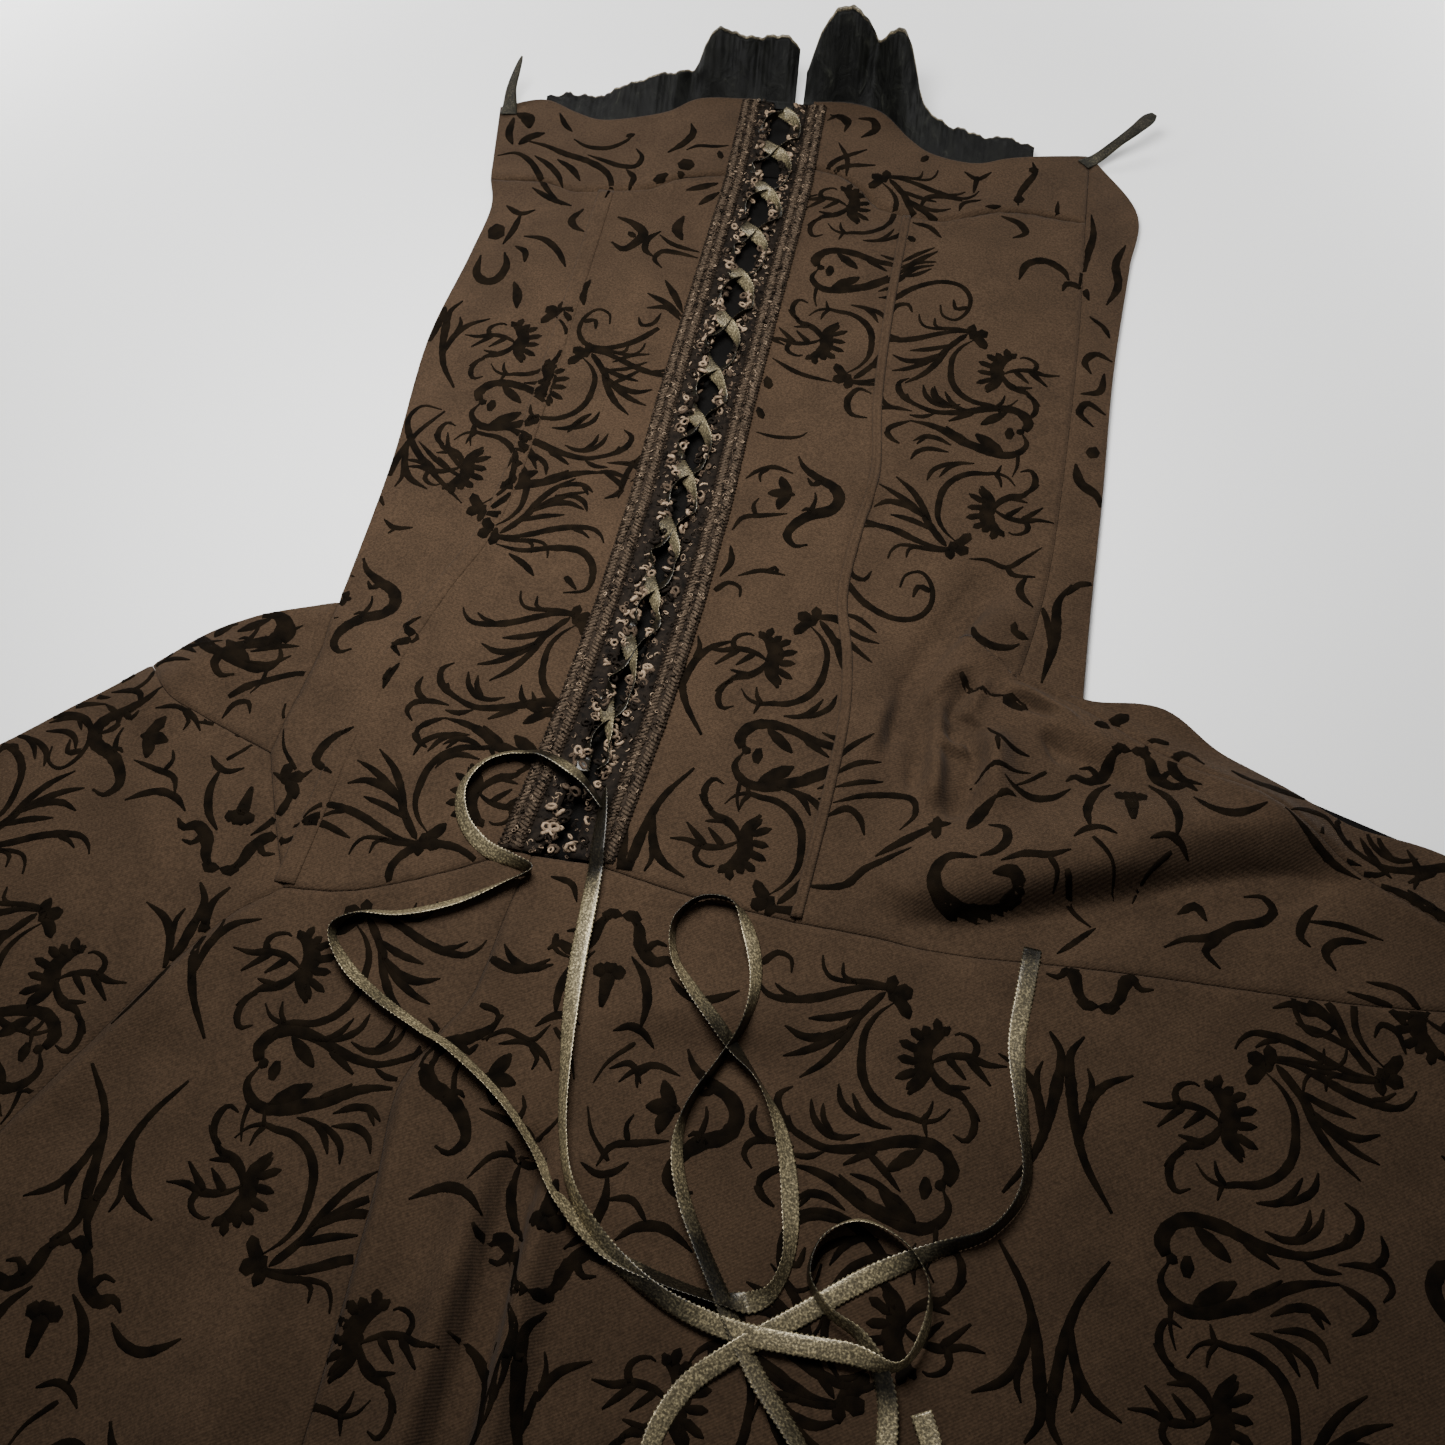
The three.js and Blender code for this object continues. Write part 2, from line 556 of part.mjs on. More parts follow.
// The back lies flat under the front, inside the same outline
const BACK_NECK = [[-160, 487], [222, 487]];
const BACK_WAIST = [[-144, 117], [223, 117]];
const BACK_LEFT = [[-160, 487], [-153, 444], [-146, 420], [-152, 305], [-145, 210], [-144, 117]];
const BACK_RIGHT = [[222, 487], [235, 464], [234, 417], [228, 330], [226, 246], [223, 117]];
const BACK_LEFT_FLARE = [[-144, 117], [-184, 101], [-222, 65]];
const BACK_LEFT_SKIRT = [[-222, 65], [-277, 12], [-330, -31], [-430, -111], [-567, -215]];
const BACK_RIGHT_FLARE = [[223, 117], [260, 117], [287, 96], [381, 60]];
const BACK_RIGHT_SKIRT = [[381, 60], [440, 27], [500, -13], [600, -83], [704, -150]];
const HEM = [HEM_SIDE_LEFT, HEM_LEFT, HEM_RIGHT, HEM_SIDE_RIGHT];
const backOf = {
  bodice: {
    top: spaced(BACK_NECK, BACK.bodiceColumns),
    bottom: spaced(BACK_WAIST, BACK.bodiceColumns),
    left: spaced(BACK_LEFT, BACK.bodiceRows),
    right: spaced(BACK_RIGHT, BACK.bodiceRows),
  },
  skirt: {
    top: spaced(BACK_WAIST, BACK.waistColumns),
    bottom: joined(...HEM.map((hem, i) => spaced(hem, BACK.hemColumns[i]))),
    left: joined(
      spaced(BACK_LEFT_FLARE, BACK.upperRows.left),
      spaced(BACK_LEFT_SKIRT, BACK.lowerRows.left),
    ),
    right: joined(
      spaced(BACK_RIGHT_FLARE, BACK.upperRows.right),
      spaced(BACK_RIGHT_SKIRT, BACK.lowerRows.right),
    ),
  },
};

// A strip that lies on the front, from lines across it and their heights over the cloth
function trim(lines, heights, clearance) {
  const rows = lines[0].length - 1;
  const upper = [];
  const lower = [];
  for (let j = 0; j <= rows; j++) {
    lines.forEach((line, i) => {
      const [x, y] = line[j];
      const cloth = frontTop(x, y) + clearance;
      upper.push([x, y, cloth + heights[i]]);
      lower.push([x, y, cloth]);
    });
  }
  return closedWall(upper, gridTriangles(rows, lines.length - 1), lower);
}

function braid(side) {
  const { braidInner, braidOuter, braidRows, laceTop, laceEnd } = STRIP;
  const rows = side > 0 ? BRAID_PROFILE : [...BRAID_PROFILE].reverse();
  const lines = rows.map(({ across }) => {
    const offset = side * (braidInner + across * (braidOuter - braidInner));
    return stripLine(offset, laceTop, laceEnd, braidRows);
  });
  return trim(lines, rows.map(({ height }) => height), GAP);
}

// Half of the lace between the braids: straight under the braid, scalloped towards the middle
function laceHalf(side) {
  const count = STRIP.laceScallops * STRIP.stepsPerScallop;
  const outer = stripLine(side * STRIP.laceOuter, STRIP.laceTop, STRIP.laceEnd, count);
  const inner = outer.map(([, y], i) => {
    const share = i / count;
    const middle = STRIP.gapTop + share * (STRIP.gapBottom - STRIP.gapTop);
    const wave = Math.abs(Math.sin((i / STRIP.stepsPerScallop) * Math.PI + 0.6));
    return [stripX(y) + side * (middle + STRIP.scallopDepth * (1 - wave)), y];
  });
  const lines = side > 0 ? [inner, outer] : [outer, inner];
  return trim(lines, [0, 0].map(() => WALL), -WALL);
}

// One strand of the lacing: a flat band that swings from side to side over the gap
function strand(side) {
  const { pitch, reach, width, thickness, lift, top, bottom, step } = LACING;
  const count = Math.round((top - bottom) / step);
  const centre = Array.from({ length: count + 1 }, (_, i) => {
    const y = top - ((top - bottom) * i) / count;
    const share = (top - y) / (top - bottom);
    const swing = STRIP.gapTop + share * (STRIP.gapBottom - STRIP.gapTop) + reach;
    const phase = ((top - y) / pitch) * Math.PI;
    const raised = side > 0 ? lift * Math.cos(phase) ** 2 : 0;
    const x = stripX(y) + side * swing * Math.sin(phase);
    return new THREE.Vector3(x, y, frontTop(stripX(y), y) + GAP + raised);
  });
  const upper = [];
  const lower = [];
  centre.forEach((place, i) => {
    const ahead = centre[Math.min(i + 1, count)].clone().sub(centre[Math.max(i - 1, 0)]).setZ(0).normalize();
    const across = new THREE.Vector3(-ahead.y, ahead.x, 0).multiplyScalar(width / 2);
    [place.clone().sub(across), place.clone().add(across)].forEach((p) => {
      upper.push([p.x, p.y, p.z + thickness]);
      lower.push([p.x, p.y, p.z]);
    });
  });
  return closedWall(upper, gridTriangles(count, 1), lower);
}

function channel(line, half) {
  const sides = [-1, 0, 1].map((side) => line.map(([x, y]) => [x + side * half, y]));
  return trim(sides, [CHANNEL.height * 0.4, CHANNEL.height, CHANNEL.height * 0.4], CHANNEL.clearance);
}

// The height at which a flat ribbon clears the cloth and the laced strip around it
function restingHeight(x, y) {
  let high = 0;
  [0, RIBBON.width / 2, RIBBON.watch].forEach((far) => {
    for (let turn = 0; turn < 2 * Math.PI; turn += Math.PI / 4) {
      const px = x + far * Math.cos(turn);
      const py = y + far * Math.sin(turn);
      const onStrip = Math.abs(px - stripX(py)) < STRIP.braidOuter && py > STRIP.laceEnd;
      high = Math.max(high, frontTop(px, py) + (onStrip ? STRIP.height : 0));
    }
  });
  return high + RIBBON.clearance + RIBBON.thickness / 2;
}

// A free end of the ribbon, swept flat: its section stays level across the way it runs
function freeRibbon(route, steps) {
  const path = new THREE.CatmullRomCurve3(route.map(([x, y, layers]) => (
    new THREE.Vector3(x, y, restingHeight(x, y) + layers * RIBBON.layer)
  )), false, 'centripetal');
  path.computeFrenetFrames = (segments) => {
    const tangents = Array.from({ length: segments + 1 }, (_, i) => path.getTangentAt(i / segments));
    const binormals = tangents.map((ahead) => new THREE.Vector3(ahead.y, -ahead.x, 0).normalize());
    const normals = tangents.map((ahead, i) => new THREE.Vector3().crossVectors(binormals[i], ahead));
    return { tangents, normals, binormals };
  };
  const section = new THREE.Shape(Array.from({ length: RIBBON.sides }, (_, i) => {
    const turn = ((i + 0.5) * 2 * Math.PI) / RIBBON.sides;
    return new THREE.Vector2((RIBBON.thickness / 2) * Math.cos(turn), (RIBBON.width / 2) * Math.sin(turn));
  }));
  return new THREE.ExtrudeGeometry(section, { steps, extrudePath: path, bevelEnabled: false });
}

// A doubled narrow ribbon that rises past a top corner
function hangingLoop(places) {
  const path = new THREE.CatmullRomCurve3(places.map(([x, y, z]) => (
    new THREE.Vector3(x, y, Math.max(z, frontTop(x, y) + LOOP.clearance))
  )), false, 'centripetal');
  const upper = [];
  const lower = [];
  path.getSpacedPoints(LOOP.rows).forEach((p, i) => {
    const ahead = path.getTangent(i / LOOP.rows);
    const across = new THREE.Vector3(ahead.y, -ahead.x, 0).normalize().multiplyScalar(LOOP.width / 2);
    [p.clone().sub(across), p.clone().add(across)].forEach((q) => {
      upper.push([q.x, q.y, q.z + 2 * LOOP.thickness]);
      lower.push([q.x, q.y, q.z]);
    });
  });
  const triangles = gridTriangles(LOOP.rows, 1).map(([a, b, c]) => [a, c, b]);
  return closedWall(upper, triangles, lower);
}

// A ruffle from its root under the neckline out to its free edge, rising and waving as it goes
function ruffle({ neck, from, to, rows, waves, wave, columns: neckColumns }) {
  const neckline = spaced(neck, neckColumns);
  const columns = Math.round((to - from) / RUFFLE.step);
  const upper = [];
  const lower = [];
  for (let k = RUFFLE.rows; k >= 0; k--) {
    const share = Math.max(0, (k - 1) / (RUFFLE.rows - 1));
    for (let i = 0; i <= columns; i++) {
      const x = from + ((to - from) * i) / columns;
      const root = neckY(neckline, x);
      const cloth = Math.min(frontTop(x, root - RUFFLE.root), frontTop(x, root));
      const low = cloth - WALL - 2 * GAP - RUFFLE.thickness / 2;
      const tilt = k < 2 ? 0 : THREE.MathUtils.degToRad(between(rows, 'x', x, 'tilt'));
      const reach = between(rows, 'x', x, 'length') * share;
      const swing = wave * share * Math.sin(((x - from) / (to - from)) * waves * 2 * Math.PI);
      const start = root + (k === 0 ? -RUFFLE.root : RUFFLE.past);
      const y = start + reach * Math.cos(tilt);
      const z = low + reach * Math.sin(tilt);
      const half = RUFFLE.thickness / 2;
      [[upper, swing + half], [lower, swing - half]].forEach(([side, off]) => {
        side.push([x, y - off * Math.sin(tilt), z + off * Math.cos(tilt)]);
      });
    }
  }
  return closedWall(upper, gridTriangles(RUFFLE.rows, columns), lower);
}

function material({ color, roughness }) {
  return new THREE.MeshStandardMaterial({ color, roughness, metalness: 0, side: THREE.DoubleSide });
}

const dress = new THREE.Group();

function add(name, geometry, look) {
  const mesh = new THREE.Mesh(geometry, material(look));
  mesh.name = name;
  dress.add(mesh);
}

Object.entries(front).forEach(([name, edges]) => add(name, frontPanel(edges), COLOURS.cloth));
add('back_bodice', backPanel(backOf.bodice), COLOURS.cloth);
add('back_skirt', backPanel(backOf.skirt), COLOURS.cloth);

add('boning_channel_left', channel(seam.princessLeft, CHANNEL.leftHalf), COLOURS.cloth);
add('boning_channel_right', channel(seam.princessRight, CHANNEL.rightHalf), COLOURS.cloth);
add('braid_left', braid(-1), COLOURS.braid);
add('braid_right', braid(1), COLOURS.braid);
add('lace_left', laceHalf(-1), COLOURS.lace);
add('lace_right', laceHalf(1), COLOURS.lace);
add('lacing_under', strand(-1), COLOURS.ribbon);
add('lacing_over', strand(1), COLOURS.ribbon);
add('neck_ruffle_left', ruffle(RUFFLE_LEFT), COLOURS.ruffle);
add('neck_ruffle_right', ruffle(RUFFLE_RIGHT), COLOURS.ruffle);
add('hanging_loop_left', hangingLoop(LOOP_LEFT), COLOURS.ribbon);
add('hanging_loop_right', hangingLoop(LOOP_RIGHT), COLOURS.ribbon);
add('ribbon_end_left', freeRibbon(RIBBON_END_LEFT, RIBBON_STEPS.left), COLOURS.ribbon);
add('ribbon_end_right', freeRibbon(RIBBON_END_RIGHT, RIBBON_STEPS.right), COLOURS.ribbon);

export default dress;
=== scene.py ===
import math
import random

import bpy
import numpy as np
from mathutils import Matrix, Vector
from mathutils.kdtree import KDTree


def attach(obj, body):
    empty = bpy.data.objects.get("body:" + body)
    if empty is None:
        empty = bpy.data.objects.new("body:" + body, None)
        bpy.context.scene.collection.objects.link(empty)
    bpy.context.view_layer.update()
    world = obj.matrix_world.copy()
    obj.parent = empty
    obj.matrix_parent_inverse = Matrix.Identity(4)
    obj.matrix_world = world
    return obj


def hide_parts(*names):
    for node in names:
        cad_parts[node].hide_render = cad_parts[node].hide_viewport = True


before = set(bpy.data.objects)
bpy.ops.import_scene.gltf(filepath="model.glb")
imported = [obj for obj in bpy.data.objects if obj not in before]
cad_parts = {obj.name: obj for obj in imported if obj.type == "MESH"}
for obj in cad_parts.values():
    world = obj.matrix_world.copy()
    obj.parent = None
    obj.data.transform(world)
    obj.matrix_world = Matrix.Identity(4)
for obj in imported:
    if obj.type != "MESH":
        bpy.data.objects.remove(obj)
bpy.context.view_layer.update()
bpy.ops.object.select_all(action="DESELECT")

# All tables are in millimetres, +Y from the hem to the neckline; pieces are made in metres.
MM = 0.001

# Camera: its place over the cloth, where it looks, and its lens
SENSOR = 36
CAMERA = {"place": (139.2, -270.6, 581.5), "pitch": 58.211, "roll": 3.445, "yaw": -13.106,
          "focal": 1449 / 1445 * SENSOR, "near": 0.01, "far": 20}

# Heights of the flat-laid cloth
BACK_TOP = 1.5
FRONT_LOW = 3.3
CROWN = 3.6
EDGE_ROUND = 24
FLOOR_SOFTNESS = 0.3
CLOTH = 1.0
CLEAR_OF_BACK = 0.2
UNEVENNESS = 0.35
SEAM = {"gap": 0.15, "depth": 0.9, "reach": 1.3, "roll": 0.35, "roll_place": 4, "roll_reach": 5,
        "pucker": 0.22, "pucker_reach": 9, "rows": (1.1, 2.4, 4.2), "both_ends": 8, "spacing": 0.8}
STEP = 3.6
PANEL_STEPS = {"side_front_right": 3.0}

# The laced strip
STRIP = {"braid_inner": 15.5, "braid_outer": 26.5, "lace_outer": 16.5, "gap_top": 7.5, "gap_bottom": 2.2,
         "top": 535, "end": -4, "rise": 2.6}

# Seams and edges, each from its upper end to its lower end
NECK_LEFT = [(-165, 513), (-137, 521), (-115, 511), (-97, 505), (-72, 511), (-55, 519), (-39, 534),
             (-2, 538)]
NECK_RIGHT = [(34, 540), (57, 542), (77, 536), (98, 512), (112, 500), (140, 494), (160, 502), (208, 514)]
BUST_SIDE_LEFT = [(-153, 444), (-118, 444), (-97, 437), (-78, 440)]
BUST_CENTRE_LEFT = [(-78, 440), (-53, 445), (-36, 457), (0, 466)]
BUST_CENTRE_RIGHT = [(36, 478), (60, 473), (73, 463), (87, 449), (104, 441)]
BUST_SIDE_RIGHT = [(104, 441), (124, 440), (158, 454), (208, 451)]
HIP_SIDE_LEFT = [(-147, 27), (-132, -8), (-118, -38)]
HIP_CENTRE_LEFT = [(-118, -38), (-89, -35), (-50, -20), (-20.5, -4)]
HIP_UNDER_LACE = [(-20.5, -4), (-13, -5)]
HIP_PLEAT_TO_LACE = [(-13, -5), (15.5, -5)]
HIP_CENTRE_RIGHT = [(15.5, -5), (60, -13), (107, -18)]
HIP_SIDE_RIGHT = [(107, -18), (178, -20), (263, -18), (350, -16), (424, -8)]
HEM_SIDE_LEFT = [(-567, -215), (-500, -268), (-400, -330), (-285, -377)]
HEM_LEFT = [(-285, -377), (-170, -407), (-45, -422)]
HEM_RIGHT = [(-45, -422), (100, -422), (250, -403), (380, -364), (500, -306), (600, -240), (664, -184)]
HEM_SIDE_RIGHT = [(664, -184), (704, -150)]
BAND_LEFT = [(-165, 513), (-153, 444)]
BAND_RIGHT = [(208, 514), (208, 451)]
SIDE_SEAM_LEFT = [(-153, 444), (-146, 420), (-147, 376), (-152, 305), (-145, 210), (-144, 118)]
GODET_SEAM_LEFT = [(-144, 118), (-144, 87), (-147, 27)]
GODET_SEAM_LOW = [(-222, 66), (-204, 48), (-188, 42), (-147, 27)]
LEFT_EDGE_TO_GODET = [(-144, 118), (-184, 102), (-205, 85), (-222, 66)]
LEFT_EDGE_TO_HEM = [(-222, 66), (-250, 40), (-277, 13), (-330, -30), (-430, -110), (-567, -215)]
SIDE_SEAM_RIGHT = [(208, 451), (209, 352), (206, 243), (203, 190), (198, 152), (192, 122)]
SIDE_SEAM_FLARE = [(192, 122), (212, 116), (236, 104), (268, 85), (298, 72), (340, 46), (378, 23),
                   (424, -8)]
SIDE_SEAM_SKIRT = [(424, -8), (480, -48), (560, -108), (664, -184)]
RIGHT_EDGE = [(208, 514), (238, 464), (235, 417), (229, 330), (227, 246), (224, 162), (223, 116)]
RIGHT_EDGE_TO_HIP = [(223, 116), (260, 118), (287, 97), (337, 69), (381, 61), (440, 28)]
RIGHT_EDGE_TO_HEM = [(440, 28), (500, -12), (600, -82), (704, -150)]
PRINCESS_LEFT = [(-78, 440), (-77, 344), (-78, 207), (-83, 166), (-95, 130), (-106, 83), (-113, 40),
                 (-118, -38)]
PRINCESS_RIGHT = [(104, 441), (103, 361), (105, 291), (110, 237), (106, 200), (104, 156), (111, 121),
                  (114, 87), (112, 44), (107, -18)]
STRIP_AXIS = [(16, 538), (18, 459), (15, 337), (13.5, 274), (13.5, 204), (11, 139), (6, 70), (1, 25),
              (-2.5, -4)]
PLEAT_LEFT = [(-118, -38), (-136, -54), (-154, -81), (-170, -109), (-195, -160), (-228, -235), (-285, -377)]
PLEAT_CENTRE = [(-13, -5), (-17, -32), (-22, -75), (-31, -92), (-41, -116), (-38, -160), (-37, -240),
                (-45, -422)]
LACE_LEFT = [(-2, 538), (0, 466), (-3, 337), (-4.5, 274), (-4.5, 204), (-7, 139), (-12, 70), (-17, 25),
             (-20.5, -4)]
LACE_RIGHT = [(34, 540), (36, 478), (33, 337), (31.5, 274), (31.5, 204), (29, 139), (24, 70), (19, 25),
              (15.5, -5)]

# The garment's outline as x at each y, which the crown of the front follows
OUTLINE = [
    (545, -170, 200), (513, -165, 208), (464, -156, 238), (420, -146, 235), (305, -152, 228),
    (118, -144, 226), (96, -195, 288), (62, -226, 378), (28, -262, 440), (-30, -330, 526),
    (-110, -430, 645), (-150, -481, 704), (-215, -567, 704),
]

# Folds: the rise of a ridge (below 0 for a trough), its spread to the left and to the right of its line, the
# share of its length over which each end dies out, and then the line's places as x, y, x, y and so on
FOLDS = [
    (15, 26, 13, 0.25, 128, 6, 173, 12, 218, 27, 256, 43, 298, 56, 350, 60),
    (-7, 8, 12, 0.2, 135, -8, 173, -14, 218, 1, 256, 17, 298, 31, 345, 36),
    (-6, 9, 8, 0.25, 180, 196, 166, 163, 150, 128, 141, 100, 138, 68),
    (5, 12, 9, 0.35, 196, 178, 178, 140, 164, 108),
    (-5, 6, 6, 0.3, 148, 118, 149, 82, 152, 46),
    (5, 6, 7, 0.3, 157, 112, 158, 78, 160, 40),
    (-8, 8, 7, 0.3, 172, 100, 167, 82, 168, 34),
    (7, 10, 8, 0.3, 182, 98, 184, 74, 190, 40),
    (3, 9, 9, 0.3, 120, 130, 124, 90, 126, 30),
    (5, 8, 9, 0.35, 196, 108, 222, 98, 246, 82),
    (-4, 7, 8, 0.35, 204, 92, 232, 78, 262, 62),
    (3, 8, 8, 0.2, 230, 108, 300, 68, 378, 24, 480, -44),
    (-5, 15, 12, 0.3, -148, 108, -158, 78, -166, 52),
    (5, 18, 18, 0.3, -176, 92, -200, 62, -228, 30),
    (4.5, 16, 4, 0.2, -112, -42, -130, -56, -148, -83, -164, -112, -192, -168),
    (-4.5, 16, 18, 0.3, -139, -102, -156, -124, -170, -170),
    (4.5, 16, 4, 0.15, -9, -22, -17, -74, -26, -92, -36, -116, -33, -160, -32, -250),
    (-9, 8, 8, 0.1, 19, -118, 16, -152, 16, -200, 12, -300, 4, -422),
    (7, 15, 9, 0.12, 36, -112, 32, -152, 32, -200, 32, -300, 34, -422),
    (6, 9, 13, 0.12, 4, -120, 0, -160, -3, -220, -12, -300, -22, -422),
    (-3.5, 10, 12, 0.3, 28, -86, 57, -83, 96, -80, 124, -82),
    (2.5, 12, 12, 0.3, 30, -68, 80, -62, 130, -64),
    (-3, 12, 12, 0.3, 74, 462, 82, 446, 90, 425),
    (2.5, 5, 5, 0.4, 96, 244, 109, 230, 122, 218),
    (-2.5, 6, 6, 0.4, 100, 226, 112, 216, 122, 200),
    (2.5, 12, 14, 0.3, -120, 120, -108, 60, -100, -10),
    (4, 30, 26, 0.3, 150, -60, 175, -150, 200, -260, 215, -410),
    (-3.5, 26, 26, 0.25, 235, -70, 268, -160, 305, -270, 340, -378),
    (9, 26, 20, 0.35, 290, -60, 345, -150, 410, -250, 455, -330),
    (-4, 22, 24, 0.3, 350, -50, 420, -130, 500, -210, 560, -268),
    (8, 24, 18, 0.35, 400, -60, 480, -120, 560, -180, 630, -222),
    (8, 22, 18, 0.4, -60, -160, -75, -240, -92, -330, -100, -412),
    (-4, 20, 22, 0.35, -105, -170, -130, -250, -155, -330, -168, -400),
    (9, 24, 24, 0.4, -225, -70, -290, -150, -350, -230, -400, -322),
    (-4, 22, 22, 0.35, -262, -40, -340, -110, -420, -190, -480, -272),
]

# Small creases and puckers that only show in the cloth, in the same form, given one by one and no two alike
CREASES = [
    (-0.8, 3, 4, 0.4, 98, 222, 88, 196, 80, 160, 79, 120),
    (0.8, 3, 3, 0.4, 104, 214, 97, 190, 92, 170),
    (0.7, 4, 3, 0.4, 60, 262, 84, 254, 100, 248),
    (-0.7, 5, 6, 0.4, -100, 200, -108, 150, -112, 110),
    (0.8, 6, 7, 0.4, -60, 130, -72, 80, -80, 20),
    (-7, 3.6, 2.6, 0.3, 176, 180, 167, 158, 155, 138, 147, 124, 142, 106, 138, 88, 134, 64),
    (5, 7, 6, 0.35, 182, 168, 172, 148, 160, 130, 152, 116, 148, 100),
    (5, 3, 2.6, 0.3, 172, 128, 160, 118, 152, 106, 147, 96),
    (-6, 2.6, 2.6, 0.3, 176, 118, 168, 112, 163, 100, 160, 90),
    (4, 2.4, 2.4, 0.35, 180, 122, 174, 108, 172, 96),
    (-9, 5, 6, 0.3, 172, 98, 169, 90, 166, 83),
    (6, 3, 2.2, 0.3, 158, 84, 166, 79, 174, 81),
    (-6.5, 3, 2.4, 0.3, 150, 98, 150, 78, 148, 52),
    (5, 5, 5, 0.35, 158, 80, 160, 64, 160, 44),
    (-7.5, 2.8, 2.6, 0.3, 176, 88, 177, 70, 172, 52, 166, 40),
    (4.5, 6, 5, 0.35, 183, 92, 185, 72, 181, 52),
    (4, 4, 4, 0.35, 137, 110, 131, 88, 128, 64),
    (3.6, 2.6, 2.6, 0.3, 182, 118, 196, 116, 212, 108, 226, 98),
    (-4.5, 2.6, 2.6, 0.35, 184, 112, 198, 109, 214, 101),
    (-5, 3, 3, 0.35, 205, 96, 213, 84, 216, 78),
    (-6, 5, 6, 0.2, 140, -2, 156, -11, 176, -10, 200, -2, 226, 8, 262, 22, 300, 34, 340, 40),
    (3.5, 6, 4, 0.3, 146, 3, 170, -1, 200, 9, 236, 24, 276, 38),
    (-1.6, 3, 4, 0.3, 205, 118, 216, 106, 230, 97),
    (1.5, 5, 4, 0.3, 126, 14, 150, 2, 180, 4),
    (1.2, 4, 4, 0.4, 212, 14, 214, -4, 213, -18),
    (-1.0, 5, 5, 0.4, 243, 20, 242, 0, 238, -16),
    (-2.5, 7, 8, 0.3, 300, 40, 330, 42, 372, 38),
    (0.9, 6, 6, 0.4, -150, 60, -170, 66, -196, 70),
    (-0.8, 4, 5, 0.4, -190, 36, -168, 30, -150, 24),
    (0.8, 6, 6, 0.4, -55, -60, -36, -80, -24, -92),
    (-9, 4.5, 4.5, 0.06, 20, -122, 17, -150, 16, -200, 12, -300, 6, -420),
    (9, 7, 5, 0.25, 31, -122, 29, -160, 29, -220, 29, -380),
    (8, 5, 8, 0.25, 7, -128, 5, -170, 2, -240, -6, -380),
    (-3, 4, 5, 0.3, 41, -150, 42, -200, 44, -300),
    (-1.6, 1.5, 1.5, 0.04, 0, 466, -36, 457, -53, 445, -78, 440, -97, 437, -118, 444, -153, 444),
    (-1.8, 1.6, 1.6, 0.04, 36, 478, 60, 473, 73, 463, 87, 449, 104, 441, 124, 440, 158, 454, 208, 451),
    (-1.2, 9, 8, 0.4, 118, 452, 140, 470, 168, 480),
    (-1.2, 3, 3, 0.4, -128, 506, -118, 496, -108, 484),
    (1.2, 12, 12, 0.4, -200, -100, -190, -150, -196, -190),
    (1.1, 12, 10, 0.4, 60, -120, 62, -160, 60, -200),
    (0.8, 14, 14, 0.4, 205, -20, 200, -60, 206, -110),
    (1.0, 14, 16, 0.4, 300, -30, 322, -80, 340, -130),
]

# The ribbon's free ends: places on the cloth, layers of ribbon under each, its turn about its own way in
# degrees and
# its painted highlight and shade: how light the satin's colour is painted there, from painted shade at 0 to
# highlight at 1
# The ribbon's picot value is painted highlight on its outward picot teeth and painted shade between them
RIBBON = {"width": 7.8, "thickness": 0.4, "bow": 0.35, "clearance": 0.7, "layer": 1.3, "evened": 7,
          "step": 1.0, "tooth": 0.3, "picot": 0.4}
RIBBON_END_LEFT = [
    (15, 20, -1.2, 66, 0), (5, 30, 0.4, 58, 0.1), (-4, 37, 0.6, 40, 0.6), (-19, 43, 0.6, 48, 0.05),
    (-34, 43, 0, 52, 0.6), (-46, 36, 0, 50, 0.7), (-52, 22, 0, 46, 0.6), (-47, 6, 0, 42, 0.7),
    (-34, -6, 0, 40, 0.9), (-19, -11, 0, 62, 0.5), (-10, -14, 0, 78, 0.1), (-20, -21, 0, 62, 0.5),
    (-40, -34, 0, 46, 0.9), (-62, -43, 0, 52, 0.9), (-80, -46, 0, 66, 0.5), (-88, -55, 0, 98, 0.2),
    (-78, -69, 0, 128, 0.8), (-60, -81, 0, 130, 0.5), (-39, -91, 0, 124, 0.9), (-18, -101, 0, 122, 0.7),
    (2, -114, 0, 116, 1), (20, -131, 0, 114, 0.8), (36, -150, 0, 124, 1), (56, -164, 0, 142, 0.6),
    (80, -171, 0, 128, 0.05), (104, -174, 0, 136, 0), (119, -171, 0.3, 222, 0.8), (125, -158, 0, 236, 0.7),
    (123, -135, 0, 208, 1), (115, -108, 0.2, 226, 0.9), (103, -90, 1, 254, 0.2), (88, -75, 1, 218, 0.1),
    (70, -57, 0.2, 224, 0.6), (59, -42, 0, 246, 0.9), (57, -27, 0, 262, 0), (66, -15, 0, 281, 0),
    (80, -15, 0, 286, 0.1), (89, -28, 0, 322, 1), (95, -48, 0, 308, 0.9), (94, -66, 0, 284, 0.2),
    (86, -84, 0, 276, 0), (77, -106, 0, 280, 0), (76, -122, 0, 302, 0.9), (82, -140, 0, 312, 0.5),
    (92, -157, 0.6, 318, 0.1), (102, -172, 1, 325, 0.1), (112, -187, 0, 330, 0.4), (122, -200, 0, 332, 0.5),
    (138, -217, 0, 322, 0.4), (152, -236, 0.5, 318, 0.3), (168, -241, 1, 310, 0.6),
    (184, -230, 0.5, 322, 0.8), (185, -212, 0, 340, 1), (180, -200, 0, 345, 1),
]
